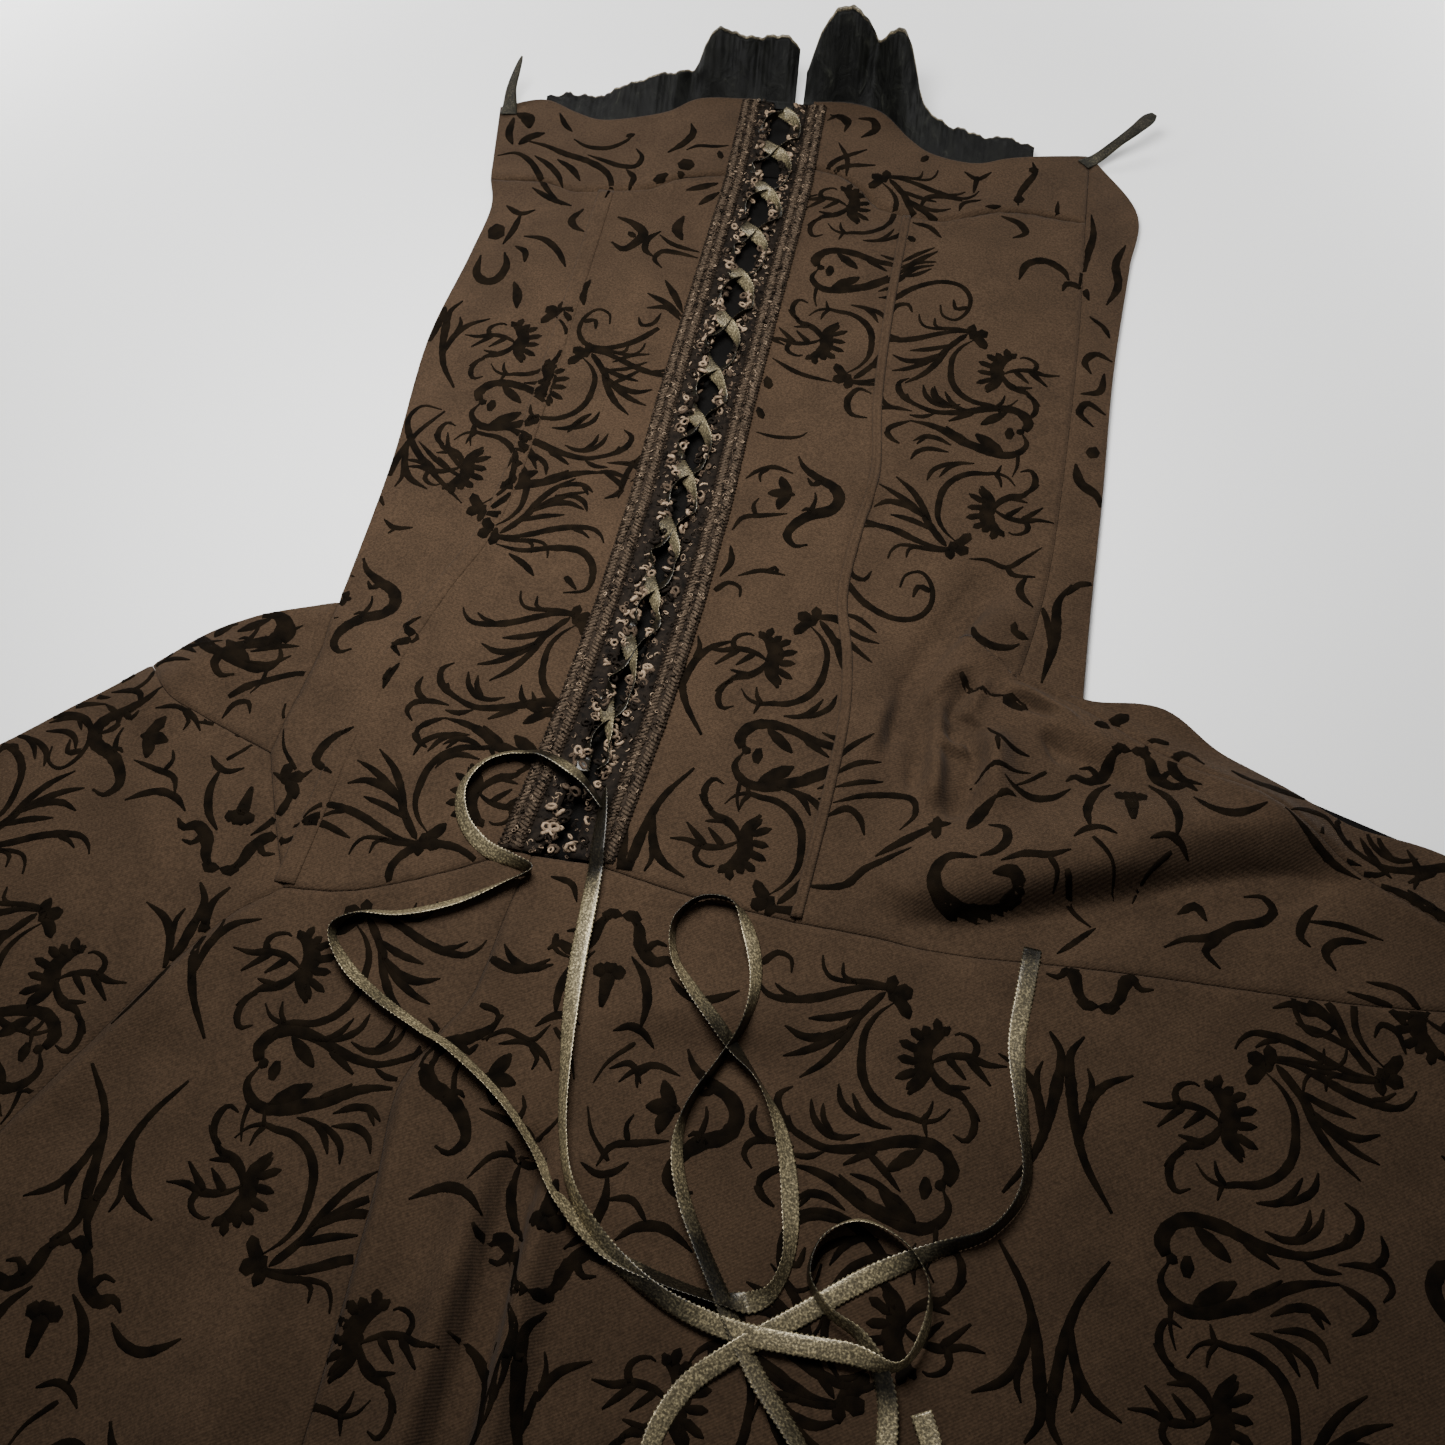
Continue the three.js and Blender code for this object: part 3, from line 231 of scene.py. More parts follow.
RIBBON_END_RIGHT = [
    (13, 30, -1.5, 72, 0), (15, 14, 0.4, 44, 0), (17, -8, 0, 26, 0.05), (18, -28, 0, 18, 1),
    (19, -50, 0, 16, 1), (21, -72, 0, 26, 0.9), (25, -98, 0.3, 50, 0.9), (30, -122, 1, 60, 0.9),
    (40, -146, 1, 62, 0.8), (56, -163, 1, 38, 0.5), (80, -177, 1, 40, 0.2), (106, -184, 2, 14, 1),
    (130, -185, 2, 5, 1), (152, -185, 2, 20, 1), (170, -187, 2, 74, 0.9), (178, -174, 1, 66, 1),
    (178, -157, 1, 80, 0.3), (168, -144, 1, 80, 0.4), (150, -138, 0.5, 72, 0.9), (137, -146, 0.2, 84, 0.2),
    (134, -161, 0.8, 82, 0.1), (143, -172, 1, 74, 0.8), (156, -179, 0.6, 62, 0.7), (166, -193, 0, 34, 0.1),
    (169, -210, 0, 20, 1), (166, -232, 0, 30, 0.8), (152, -256, 0, 55, 0.5), (124, -266, 0, 62, 0.5),
    (98, -254, 0, 62, 0.6), (87, -230, 0, 34, 1), (94, -208, 0, 16, 1), (109, -193, 1.2, 20, 1),
    (131, -176, 0.2, 12, 1), (155, -158, 0, 10, 1), (180, -144, 0, 52, 0.2), (200, -133, 0, 70, 0.05),
    (211, -114, 0, 58, 0.2), (208, -86, 0, 44, 0.3), (204, -58, 0, 20, 0.7), (206, -32, 0, 8, 0.5),
    (208, -13, 0, 0, 0.1),
]


def spline(points, per_span=24):
    """A centripetal curve through the points, as dense points."""
    points = np.asarray(points, float)
    if len(points) == 2:
        share = np.linspace(0, 1, per_span * 2 + 1)[:, None]
        return points[0] * (1 - share) + points[1] * share
    ends = [2 * points[0] - points[1], *points, 2 * points[-1] - points[-2]]
    rows = []
    for a, b, c, d in zip(ends, ends[1:], ends[2:], ends[3:]):
        ta = 0
        tb = ta + max(np.linalg.norm(b[:2] - a[:2]) ** 0.5, 1e-4)
        tc = tb + max(np.linalg.norm(c[:2] - b[:2]) ** 0.5, 1e-4)
        td = tc + max(np.linalg.norm(d[:2] - c[:2]) ** 0.5, 1e-4)
        for t in np.linspace(tb, tc, per_span, endpoint=False):
            first = (a * (tb - t) + b * (t - ta)) / (tb - ta)
            second = (b * (tc - t) + c * (t - tb)) / (tc - tb)
            third = (c * (td - t) + d * (t - tc)) / (td - tc)
            left = (first * (tc - t) + second * (t - ta)) / (tc - ta)
            right = (second * (td - t) + third * (t - tb)) / (td - tb)
            rows.append((left * (tc - t) + right * (t - tb)) / (tc - tb))
    return np.array([*rows, points[-1]])


def line_length(line):
    return float(np.linalg.norm(np.diff(line[:, :2], axis=0), axis=1).sum())


def along(line, shares):
    """Places at shares of a dense line's length."""
    gone = np.concatenate([[0], np.cumsum(np.linalg.norm(np.diff(line[:, :2], axis=0), axis=1))])
    want = np.clip(shares, 0, 1) * gone[-1]
    return np.stack([np.interp(want, gone, line[:, k]) for k in range(line.shape[1])], 1)


def edge(*tables):
    """One dense line through several seam tables, end to end."""
    lines = [spline(table) for table in tables]
    return np.concatenate([lines[0]] + [line[1:] for line in lines[1:]])


def strip_axis(y):
    """The middle of the laced strip, as x at each y."""
    return np.interp(y, [row[1] for row in STRIP_AXIS][::-1], [row[0] for row in STRIP_AXIS][::-1])


def strip_line(offset, y):
    return np.column_stack([strip_axis(y) + offset, y])


def gap_at(share):
    """Half the width of the laced gap at a share of its way down."""
    return STRIP["gap_top"] + share * (STRIP["gap_bottom"] - STRIP["gap_top"])


def side_of(places):
    """The level direction to the left of a row of places, at each place."""
    ahead = np.gradient(places[:, :2], axis=0)
    ahead /= np.maximum(np.linalg.norm(ahead, axis=1), 1e-6)[:, None]
    return np.column_stack([-ahead[:, 1], ahead[:, 0]])


def pairs(numbers):
    return list(zip(numbers[::2], numbers[1::2]))


def fold_rise(fold, x, y):
    """How far one fold or crease lifts the cloth at each place."""
    rise, left, right, ends, *places = fold
    line = np.array(pairs(places), float)
    lengths = np.linalg.norm(np.diff(line, axis=0), axis=1)
    total = lengths.sum()
    best = np.full(x.shape, 1e9)
    side = np.ones(x.shape)
    share = np.zeros(x.shape)
    before = 0
    for (ax, ay), (bx, by), length in zip(line, line[1:], lengths):
        dx, dy = (bx - ax) / length, (by - ay) / length
        run = np.clip((x - ax) * dx + (y - ay) * dy, 0, length)
        distance = np.hypot(x - ax - run * dx, y - ay - run * dy)
        nearer = distance < best
        best = np.where(nearer, distance, best)
        side = np.where(nearer, dx * (y - ay) - dy * (x - ax), side)
        share = np.where(nearer, (before + run) / total, share)
        before += length
    spread = np.where(side > 0, left, right)
    start = np.clip(share / ends, 0, 1)
    stop = np.clip((share - 1 + ends) / ends, 0, 1)
    fade = start * start * (3 - 2 * start) * (1 - stop * stop * (3 - 2 * stop))
    return rise * fade * np.exp(-((best / spread) ** 2))


def front_top(x, y):
    """The upper surface of the laid front, as its solids have it."""
    x, y = np.asarray(x, float), np.asarray(y, float)
    rows = sorted(OUTLINE)
    ys = [row[0] for row in rows]
    left = np.interp(y, ys, [row[1] for row in rows])
    right = np.interp(y, ys, [row[2] for row in rows])
    inside = np.maximum(0, np.minimum(x - left, right - x))
    free = CROWN * (1 - np.exp(-inside / EDGE_ROUND))
    for fold in FOLDS:
        free = free + fold_rise(fold, x, y)
    return FRONT_LOW + (free + np.hypot(free, 2 * FLOOR_SOFTNESS)) / 2


SEAMS = [
    edge(BUST_SIDE_LEFT, BUST_CENTRE_LEFT), edge(BUST_CENTRE_RIGHT, BUST_SIDE_RIGHT), edge(PRINCESS_LEFT),
    edge(PRINCESS_RIGHT), edge(BAND_RIGHT, SIDE_SEAM_RIGHT, SIDE_SEAM_FLARE, SIDE_SEAM_SKIRT),
    edge(GODET_SEAM_LEFT), edge(GODET_SEAM_LOW, HIP_SIDE_LEFT, HIP_CENTRE_LEFT, HIP_UNDER_LACE),
    edge(HIP_PLEAT_TO_LACE, HIP_CENTRE_RIGHT), edge(HIP_SIDE_RIGHT), edge(PLEAT_LEFT), edge(PLEAT_CENTRE),
]
seam_places = np.concatenate([
    along(line, np.linspace(0, 1, int(line_length(line) / SEAM["spacing"]) + 2)) for line in SEAMS
])
seam_tree = KDTree(len(seam_places))
for index, (px, py) in enumerate(seam_places):
    seam_tree.insert((px, py, 0), index)
seam_tree.balance()


def cloth_height(x, y):
    """The front's visible surface: its folds, small creases and the dip and roll beside each seam."""
    shape = np.shape(x)
    x, y = np.ravel(np.asarray(x, float)), np.ravel(np.asarray(y, float))
    z = front_top(x, y)
    for crease in CREASES:
        z = z + fold_rise(crease, x, y)
    far = np.array([seam_tree.find((px, py, 0))[2] for px, py in zip(x, y)])
    z = z - SEAM["depth"] * np.exp(-((far / SEAM["reach"]) ** 2))
    z = z + SEAM["roll"] * np.exp(-(((far - SEAM["roll_place"]) / SEAM["roll_reach"]) ** 2))
    pucker = SEAM["pucker"] * np.sin(x * 0.55 + 1.3 * np.sin(y * 0.13))
    pucker = pucker * np.sin(y * 0.47 + 0.9 * np.sin(x * 0.17))
    z = z + pucker * np.exp(-((far / SEAM["pucker_reach"]) ** 2))
    z = z + UNEVENNESS * np.sin(x * 0.045 + 0.6) * np.sin(y * 0.038 + 1.1 * np.sin(x * 0.021))
    return np.maximum(z, BACK_TOP + CLOTH + CLEAR_OF_BACK).reshape(shape)


def new_piece(name, vertices, faces, material, slot, smooth=True):
    """A finished mesh piece from points in millimetres, riding on the dress."""
    mesh = bpy.data.meshes.new(name)
    vertices = np.asarray(vertices, float) * MM
    mesh.from_pydata(vertices.tolist(), [], [tuple(int(i) for i in face) for face in faces])
    mesh.validate()
    if smooth:
        mesh.shade_smooth()
    piece = bpy.data.objects.new(name, mesh)
    bpy.context.scene.collection.objects.link(piece)
    mesh.materials.append(material)
    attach(piece, "root")
    return piece


def grid_faces(rows, columns, start=0):
    faces = []
    for j in range(rows):
        for i in range(columns):
            a = start + j * (columns + 1) + i
            c = a + columns + 1
            faces.append((a, c, c + 1, a + 1))
    return faces


def closed_wall(upper, lower, rows, columns):
    """Vertices and faces of a wall between two grids of the same rows and columns."""
    count = len(upper)
    faces = grid_faces(rows, columns)
    faces += [tuple(i + count for i in reversed(face)) for face in grid_faces(rows, columns)]
    wide = columns + 1
    for i in range(columns):
        faces.append((i, i + 1, i + 1 + count, i + count))
        a = rows * wide + i
        faces.append((a + 1, a, a + count, a + 1 + count))
    for j in range(rows):
        a = j * wide
        faces.append((a + wide, a, a + count, a + wide + count))
        a = j * wide + columns
        faces.append((a, a + wide, a + wide + count, a + count))
    return np.concatenate([upper, lower]), faces


def wall_of_lines(upper, lower):
    """A closed wall from the lines of its two sides, which run next to each other."""
    rows, columns = len(upper[0]) - 1, len(upper) - 1
    return closed_wall(np.stack(upper, 1).reshape(-1, 3), np.stack(lower, 1).reshape(-1, 3), rows, columns)


def turned_over(faces):
    return [tuple(reversed(face)) for face in faces]


def shares_across(length, step):
    """Shares that crowd at both ends, so a seam's dip has rows of its own."""
    ends = [row / length for row in (SEAM["gap"], *SEAM["rows"])]
    middle = np.linspace(ends[-1], 1 - ends[-1], max(3, int((length - SEAM["both_ends"]) / step)))
    return np.array([*ends[:-1], *middle, *[1 - share for share in reversed(ends[:-1])]])


def panel_plan(top, bottom, left, right, step=STEP):
    """A panel's plan as a blend of its four edges: rows of places."""
    u = shares_across(max(line_length(top), line_length(bottom)), step)
    v = shares_across(max(line_length(left), line_length(right)), step)
    tops, bottoms = along(top, u), along(bottom, u)
    lefts, rights = along(left, v), along(right, v)
    u, v = u[None, :, None], v[:, None, None]
    blend = (1 - v) * tops[None] + v * bottoms[None] + (1 - u) * lefts[:, None] + u * rights[:, None]
    corners = (1 - v) * ((1 - u) * top[0] + u * top[-1]) + v * ((1 - u) * bottom[0] + u * bottom[-1])
    return blend - corners


def front_panel(name, top, bottom, left, right, cut, material, step=STEP):
    plan = panel_plan(top, bottom, left, right, step)
    rows, columns = plan.shape[0] - 1, plan.shape[1] - 1
    flat = plan.reshape(-1, 2)
    z = cloth_height(flat[:, 0], flat[:, 1])
    upper = np.column_stack([flat, z])
    lower = np.column_stack([flat, z - CLOTH])
    vertices, faces = closed_wall(upper, lower, rows, columns)
    piece = new_piece(name, vertices, faces, material, "flocked_cloth")
    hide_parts(name.replace("cloth_", ""))
    return piece


def shader(name, roughness, **sockets):
    """A new material with its principled shader set by socket name."""
    material = bpy.data.materials.new(name)
    material.use_nodes = True
    node = material.node_tree.nodes["Principled BSDF"]
    node.inputs["Roughness"].default_value = roughness
    for key, value in sockets.items():
        node.inputs[key.replace("_", " ")].default_value = value
    return material, material.node_tree, node


def link(tree, source, target):
    tree.links.new(source, target)


def node(tree, kind, **values):
    made = tree.nodes.new(kind)
    for key, value in values.items():
        if hasattr(made, key):
            setattr(made, key, value)
        else:
            made.inputs[key.replace("_", " ")].default_value = value
    return made


def ramp(tree, factor, stops):
    made = tree.nodes.new("ShaderNodeValToRGB")
    while len(made.color_ramp.elements) < len(stops):
        made.color_ramp.elements.new(0.5)
    for element, (place, colour) in zip(made.color_ramp.elements, stops):
        element.position = place
        element.color = (*colour, 1)
    link(tree, factor, made.inputs["Fac"])
    return made.outputs["Color"]


def place_on(tree):
    return node(tree, "ShaderNodeTexCoord").outputs["Object"]


def grain(tree, place, scale, detail, **values):
    """A noise over the piece: the larger its scale, the finer its grain."""
    noise = node(tree, "ShaderNodeTexNoise", Scale=scale, Detail=detail, **values)
    link(tree, place, noise.inputs["Vector"])
    return noise.outputs["Fac"]


def multiplied(tree, factor, base, tint):
    """A colour times another one, by a factor."""
    mix = node(tree, "ShaderNodeMix", data_type="RGBA", blend_type="MULTIPLY", Factor=factor)
    link(tree, base, mix.inputs["A"])
    link(tree, tint, mix.inputs["B"])
    return mix.outputs["Result"]


def finished(tree, main, colour, height, strength, distance):
    """Gives a shader its colour and a bump from a height."""
    link(tree, colour, main.inputs["Base Color"])
    bump = node(tree, "ShaderNodeBump", Strength=strength, Distance=distance)
    link(tree, height, bump.inputs["Height"])
    link(tree, bump.outputs["Normal"], main.inputs["Normal"])


TWILL = {"mottle": 38.0, "nap": 900.0, "nap_share": 0.6, "lines": 290.0, "slant": 58, "line_share": 0.14}
FIBRES = [(0.3, (0.34, 0.33, 0.31)), (0.68, (1.15, 1.15, 1.15))]
PILE = {"grain": 1400.0, "wear": 120.0,
        "stops": [(0.35, (0.0035, 0.0026, 0.0017)), (0.8, (0.011, 0.0072, 0.004))]}
# Satin: its drifting noise paints patches of highlight and shade, and its ribs' noise paints glints that
# multiply the colour up to 2.2 times
SATIN = {"drift": 70.0, "ribs": 1100.0, "painted_shine_share": 0.78, "drift_share": 0.36}
PAINTED_GLINTS = [(0.36, (0.4, 0.4, 0.4)), (0.56, (0.95, 0.95, 0.95)), (0.72, (2.2, 2.2, 2.1))]


def twill_cloth(name, dark, pale):
    """Peached brown twill: soft mottling, fine diagonal lines and a short nap."""
    material, tree, main = shader(name, 0.92, Specular_IOR_Level=0.12, Sheen_Weight=0.02)
    place = place_on(tree)
    mottle = grain(tree, place, TWILL["mottle"], 5.0, Roughness=0.6)
    nap = grain(tree, place, TWILL["nap"], 2.0)
    turned = node(tree, "ShaderNodeMapping", Rotation=(0, 0, math.radians(TWILL["slant"])))
    link(tree, place, turned.inputs["Vector"])
    lines = node(tree, "ShaderNodeTexWave", Scale=TWILL["lines"], Distortion=1.2, Detail=2.0,
                 Detail_Scale=2.5)
    link(tree, turned.outputs["Vector"], lines.inputs["Vector"])
    base = ramp(tree, mottle, [(0.3, dark), (0.72, pale)])
    napped = multiplied(tree, TWILL["nap_share"], base, ramp(tree, nap, FIBRES))
    rise = node(tree, "ShaderNodeMath", operation="ADD")
    link(tree, nap, rise.inputs[0])
    link(tree, lines.outputs["Fac"], rise.inputs[1])
    woven = multiplied(tree, TWILL["line_share"], napped, lines.outputs["Color"])
    finished(tree, main, woven, rise.outputs["Value"], 0.22, 0.0003)
    return material


def flock_pile():
    """Raised flocking, nearly black with a short dusty pile."""
    material, tree, main = shader("flock_pile", 1.0, Specular_IOR_Level=0.04)
    place = place_on(tree)
    pile = grain(tree, place, PILE["grain"], 2.0)
    worn = grain(tree, place, PILE["wear"], 4.0)
    finished(tree, main, ramp(tree, worn, PILE["stops"]), pile, 0.5, 0.0003)
    return material


def satin(name, painted_shade_colour, bright, metallic=0.35, roughness=0.36, laid=False, specular=0.5):
    """Satin: fine ribs with painted glints on them, and a colour painted from shade to highlight by a
    drifting noise and, on a laid ribbon, by its painted highlight attribute.
    """
    material, tree, main = shader(name, roughness, Metallic=metallic, Specular_IOR_Level=specular)
    place = place_on(tree)
    share = grain(tree, place, SATIN["drift"], 3.0)
    if laid:
        # A laid ribbon's attribute of painted highlight and shade sets most of its colour
        stretch = node(tree, "ShaderNodeAttribute", attribute_name="painted_shine")
        mixed = node(tree, "ShaderNodeMath", operation="MULTIPLY_ADD")
        link(tree, stretch.outputs["Fac"], mixed.inputs[0])
        mixed.inputs[1].default_value = SATIN["painted_shine_share"]
        drifting = node(tree, "ShaderNodeMath", operation="MULTIPLY")
        link(tree, share, drifting.inputs[0])
        drifting.inputs[1].default_value = SATIN["drift_share"]
        link(tree, drifting.outputs["Value"], mixed.inputs[2])
        share = mixed.outputs["Value"]
    colour = ramp(tree, share, [(0.28, painted_shade_colour), (0.85, bright)])
    ribs = grain(tree, place, SATIN["ribs"], 1.0)
    # Painted glints: the colour times a fine noise of the ribs
    finished(tree, main, multiplied(tree, 1.0, colour, ramp(tree, ribs, PAINTED_GLINTS)), ribs, 0.6, 0.00025)
    return material


def yarn(name, dark, pale, scale):
    """Loop and cord yarn with a twisted, dusty look."""
    material, tree, main = shader(name, 0.8, Specular_IOR_Level=0.08)
    fleck = grain(tree, place_on(tree), scale, 3.0, Roughness=0.7)
    finished(tree, main, ramp(tree, fleck, [(0.32, dark), (0.66, pale)]), fleck, 0.6, 0.0004)
    return material


def make_camera():
    pitch, roll, yaw = (math.radians(CAMERA[key]) for key in ("pitch", "roll", "yaw"))
    ahead = Vector((math.sin(yaw) * math.cos(pitch), math.cos(yaw) * math.cos(pitch), -math.sin(pitch)))
    level = Vector((math.cos(yaw), -math.sin(yaw), 0))
    down = ahead.cross(level)
    right = math.cos(roll) * level + math.sin(roll) * down
    up = math.sin(roll) * level - math.cos(roll) * down
    data = bpy.data.cameras.new("camera")
    data.lens = CAMERA["focal"]
    data.sensor_width = SENSOR
    data.clip_start, data.clip_end = CAMERA["near"], CAMERA["far"]
    camera = bpy.data.objects.new("camera", data)
    bpy.context.scene.collection.objects.link(camera)
    turn = Matrix((right, up, -ahead)).transposed().to_4x4()
    camera.matrix_world = Matrix.Translation(Vector(CAMERA["place"]) * MM) @ turn
    bpy.context.scene.camera = camera


FLOOR = {"size": 12, "below": 0.0004, "colour": (0.9, 0.9, 0.89, 1)}


def floor():
    bpy.ops.mesh.primitive_plane_add(size=FLOOR["size"], location=(0, 0, -FLOOR["below"]))
    ground = bpy.context.object
    ground.name = "studio_floor"
    ground.data.materials.append(shader("pale_floor", 0.9, Base_Color=FLOOR["colour"])[0])


make_camera()
floor()

ribbon_satin = satin("ribbon_satin", (0.013, 0.0105, 0.006), (0.23, 0.19, 0.11), laid=True)
# The ribbon's section: places across its half width, how far each bows up, and its share of the thickness
RIBBON_PROFILE = [(-1, 0, 0.4), (-0.86, 0.5, 1), (-0.4, 0.75, 1), (0.4, 0.75, 1), (0.86, 0.5, 1), (1, 0, 0.4)]


def flat_ribbon(name, route, width, lift=0.0):
    """A satin ribbon with picot edges along its route, turned about its own way as the table says."""
    dense = spline(route)
    count = int(line_length(dense) / RIBBON["step"])
    rows = along(dense, np.linspace(0, 1, count + 1))
    x, y, layers, turns, painted_shine = rows.T
    turns = np.radians(turns)
    half = width / 2
    side = side_of(rows)
    reach = half * np.abs(np.cos(turns))
    under = np.max([front_top(x + k * reach * side[:, 0], y + k * reach * side[:, 1])
                    for k in (-1, -0.5, 0, 0.5, 1)], axis=0)
    on_strip = (np.abs(x - strip_axis(y)) < STRIP["braid_outer"] + 1) & (y > STRIP["end"])
    under = under + np.where(on_strip, STRIP["rise"], 0)
    smooth = np.ones(RIBBON["evened"]) / RIBBON["evened"]
    under = np.convolve(np.pad(under, RIBBON["evened"] // 2, mode="edge"), smooth, mode="valid")
    z = under + RIBBON["clearance"] + lift + layers * RIBBON["layer"] + half * np.abs(np.sin(turns)) * 0.9
    centres = np.column_stack([x, y, z])
    across = np.column_stack([side * np.cos(turns)[:, None], np.sin(turns)])
    normal = np.column_stack([-side * np.sin(turns)[:, None], np.cos(turns)])
    tooth = RIBBON["tooth"] * np.cos(np.pi * np.arange(count + 1))
    upper, lower = [], []
    thick = RIBBON["thickness"]
    for offset, bow, thin in RIBBON_PROFILE:
        wide = offset * half + np.sign(offset) * (np.abs(offset) == 1) * tooth
        mid = centres + across * wide[:, None] + normal * (bow * RIBBON["bow"])
        upper.append(mid + normal * thick / 2 * thin)
        lower.append(mid - normal * thick / 2 * thin)
    vertices, faces = wall_of_lines(upper[::-1], lower[::-1])
    piece = new_piece(name, vertices, turned_over(faces), ribbon_satin, "satin_ribbon")
    # The fifth column goes on the ribbon as an attribute of painted highlight and shade
    painted_shine_layer = piece.data.attributes.new("painted_shine", "FLOAT", "POINT")
    glints = np.repeat(painted_shine[:, None], len(RIBBON_PROFILE), axis=1)
    # Painted highlight dots on the outward picot teeth and painted shade between them
    glints[:, [0, -1]] += (np.sign(tooth) * RIBBON["picot"])[:, None]
    painted_shine_layer.data.foreach_set("value", np.tile(np.clip(glints, 0, 1.3).ravel(), 2))
    return piece, centres


for name, route in (("left", RIBBON_END_LEFT), ("right", RIBBON_END_RIGHT)):
    piece, centres = flat_ribbon("ribbon_" + name, route, RIBBON["width"])
    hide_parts("ribbon_end_" + name)

upper_brown = (0.0415, 0.0252, 0.0142)
pale_brown = (0.06, 0.0366, 0.0208)
cloth_material = twill_cloth("flocked_twill", upper_brown, pale_brown)

PANELS = {
    "bust_band_left": {
        "top": [NECK_LEFT], "bottom": [BUST_SIDE_LEFT, BUST_CENTRE_LEFT], "left": [BAND_LEFT],
        "right": [LACE_LEFT[:2]], "cut": (0.17, 0.095, 0.0122),
    },
    "bust_band_right": {
        "top": [NECK_RIGHT], "bottom": [BUST_CENTRE_RIGHT, BUST_SIDE_RIGHT], "left": [LACE_RIGHT[:2]],
        "right": [BAND_RIGHT], "cut": (0.185, 0.1, 0.0112),
    },
    "side_front_left": {
        "top": [BUST_SIDE_LEFT], "bottom": [HIP_SIDE_LEFT], "left": [SIDE_SEAM_LEFT, GODET_SEAM_LEFT],
        "right": [PRINCESS_LEFT], "cut": (0.09, 0.48, 0.0275),
    },
    "centre_front_left": {
        "top": [BUST_CENTRE_LEFT], "bottom": [HIP_CENTRE_LEFT], "left": [PRINCESS_LEFT],
        "right": [LACE_LEFT[1:]], "cut": (0.11, 0.51, 0.0405),
    },
    "centre_front_right": {
        "top": [BUST_CENTRE_RIGHT], "bottom": [HIP_CENTRE_RIGHT], "left": [LACE_RIGHT[1:]],
        "right": [PRINCESS_RIGHT], "cut": (0.1, 0.5, 0.038),
    },
    "side_front_right": {
        "top": [BUST_SIDE_RIGHT], "bottom": [HIP_SIDE_RIGHT], "left": [PRINCESS_RIGHT],
        "right": [SIDE_SEAM_RIGHT, SIDE_SEAM_FLARE], "cut": (0.32, 0.48, 0.064),
    },
    "side_godet_left": {
        "top": [LEFT_EDGE_TO_GODET[::-1]], "bottom": [GODET_SEAM_LOW], "left": None,
        "right": [GODET_SEAM_LEFT], "cut": (0.095, 0.095, 0.0045),
    },
    "side_back_right": {
        "top": None, "bottom": [HEM_SIDE_RIGHT],
        "left": [BAND_RIGHT, SIDE_SEAM_RIGHT, SIDE_SEAM_FLARE, SIDE_SEAM_SKIRT],
        "right": [RIGHT_EDGE, RIGHT_EDGE_TO_HIP, RIGHT_EDGE_TO_HEM], "cut": (0.06, 1.12, 0.029),
    },
    "skirt_side_left": {
        "top": [GODET_SEAM_LOW, HIP_SIDE_LEFT], "bottom": [HEM_SIDE_LEFT], "left": [LEFT_EDGE_TO_HEM],
        "right": [PLEAT_LEFT], "cut": (0.35, 0.45, 0.096),
    },
    "skirt_front_left": {
        "top": [HIP_CENTRE_LEFT, HIP_UNDER_LACE], "bottom": [HEM_LEFT], "left": [PLEAT_LEFT],
        "right": [PLEAT_CENTRE], "cut": (0.26, 0.43, 0.07),
    },
    "skirt_front_right": {
        "top": [HIP_PLEAT_TO_LACE, HIP_CENTRE_RIGHT, HIP_SIDE_RIGHT], "bottom": [HEM_RIGHT],
        "left": [PLEAT_CENTRE], "right": [SIDE_SEAM_SKIRT], "cut": (0.8, 0.43, 0.225),
    },
}


def panel_edges(panel):
    """The four dense edges of a panel; an edge that is only a corner stays a point."""
    edges = {}
    for key in ("top", "bottom", "left", "right"):
        if panel[key] is not None:
            edges[key] = edge(*panel[key])
    if panel["left"] is None:
        corner = edges["top"][0]
        edges["left"] = np.array([corner, corner + (0, -0.01)])
    if panel["top"] is None:
        corner = edges["left"][0]
        edges["top"] = np.array([corner, corner + (0.01, 0)])
    return edges


edges_of = {name: panel_edges(panel) for name, panel in PANELS.items()}
for name, panel in PANELS.items():
    front_panel("cloth_" + name, **edges_of[name], cut=panel["cut"], material=cloth_material,
                step=PANEL_STEPS.get(name, STEP))


# Flock strokes in millimetres about each motif's own place: the width, then the way as x, y, x, y and so on.
# A leaf is thin at both ends, a tail thins towards its end, and a bar keeps its width.


def leaf(width, *way):
    return "leaf", width, pairs(way)


def tail(width, *way):
    return "tail", width, pairs(way)


def bar(width, *way):
    return "bar", width, pairs(way)


ROSETTE = [
    bar(6, -2, 1, -2, 5, -1, 10), bar(8, 0, 1, 7, 5), bar(6.6, 0, 1, 4, -3, 7, -8), bar(7.5, -3, 2, 2, 1),
]
BRACKET = [
    leaf(4.4, 0, -2, -6, -8, -10, -16, -10.5, -25, -9, -35, -4, -43, 4, -48, 12, -49, 17, -50, 23, -48, 27,
         -43), tail(3.2, 16, -50, 19, -46, 20, -41), tail(2.8, 17, -49, 19, -56),
    leaf(3.8, -12, -43, -8, -50, -3, -54, 5, -55), leaf(3.8, -18, -40, -16, -47, -10, -52, -3, -55),
]
PALMETTE = [
    leaf(9, 10, -40, 14, -33, 15, -27, 14, -21, 17, -15, 24, -9), bar(4.4, 13, -29, 8, -32, 4, -34),
    bar(4.4, 13, -26, 4, -25), bar(4.6, 13, -21, 4, -18), bar(4.6, 14, -16, 8, -12),
    bar(4.8, 17, -15, 13, -10), bar(4.8, 20, -13, 18, -6), bar(4.8, 20, -12, 24, -10),
    bar(4, 14, -31, 9, -38),
]
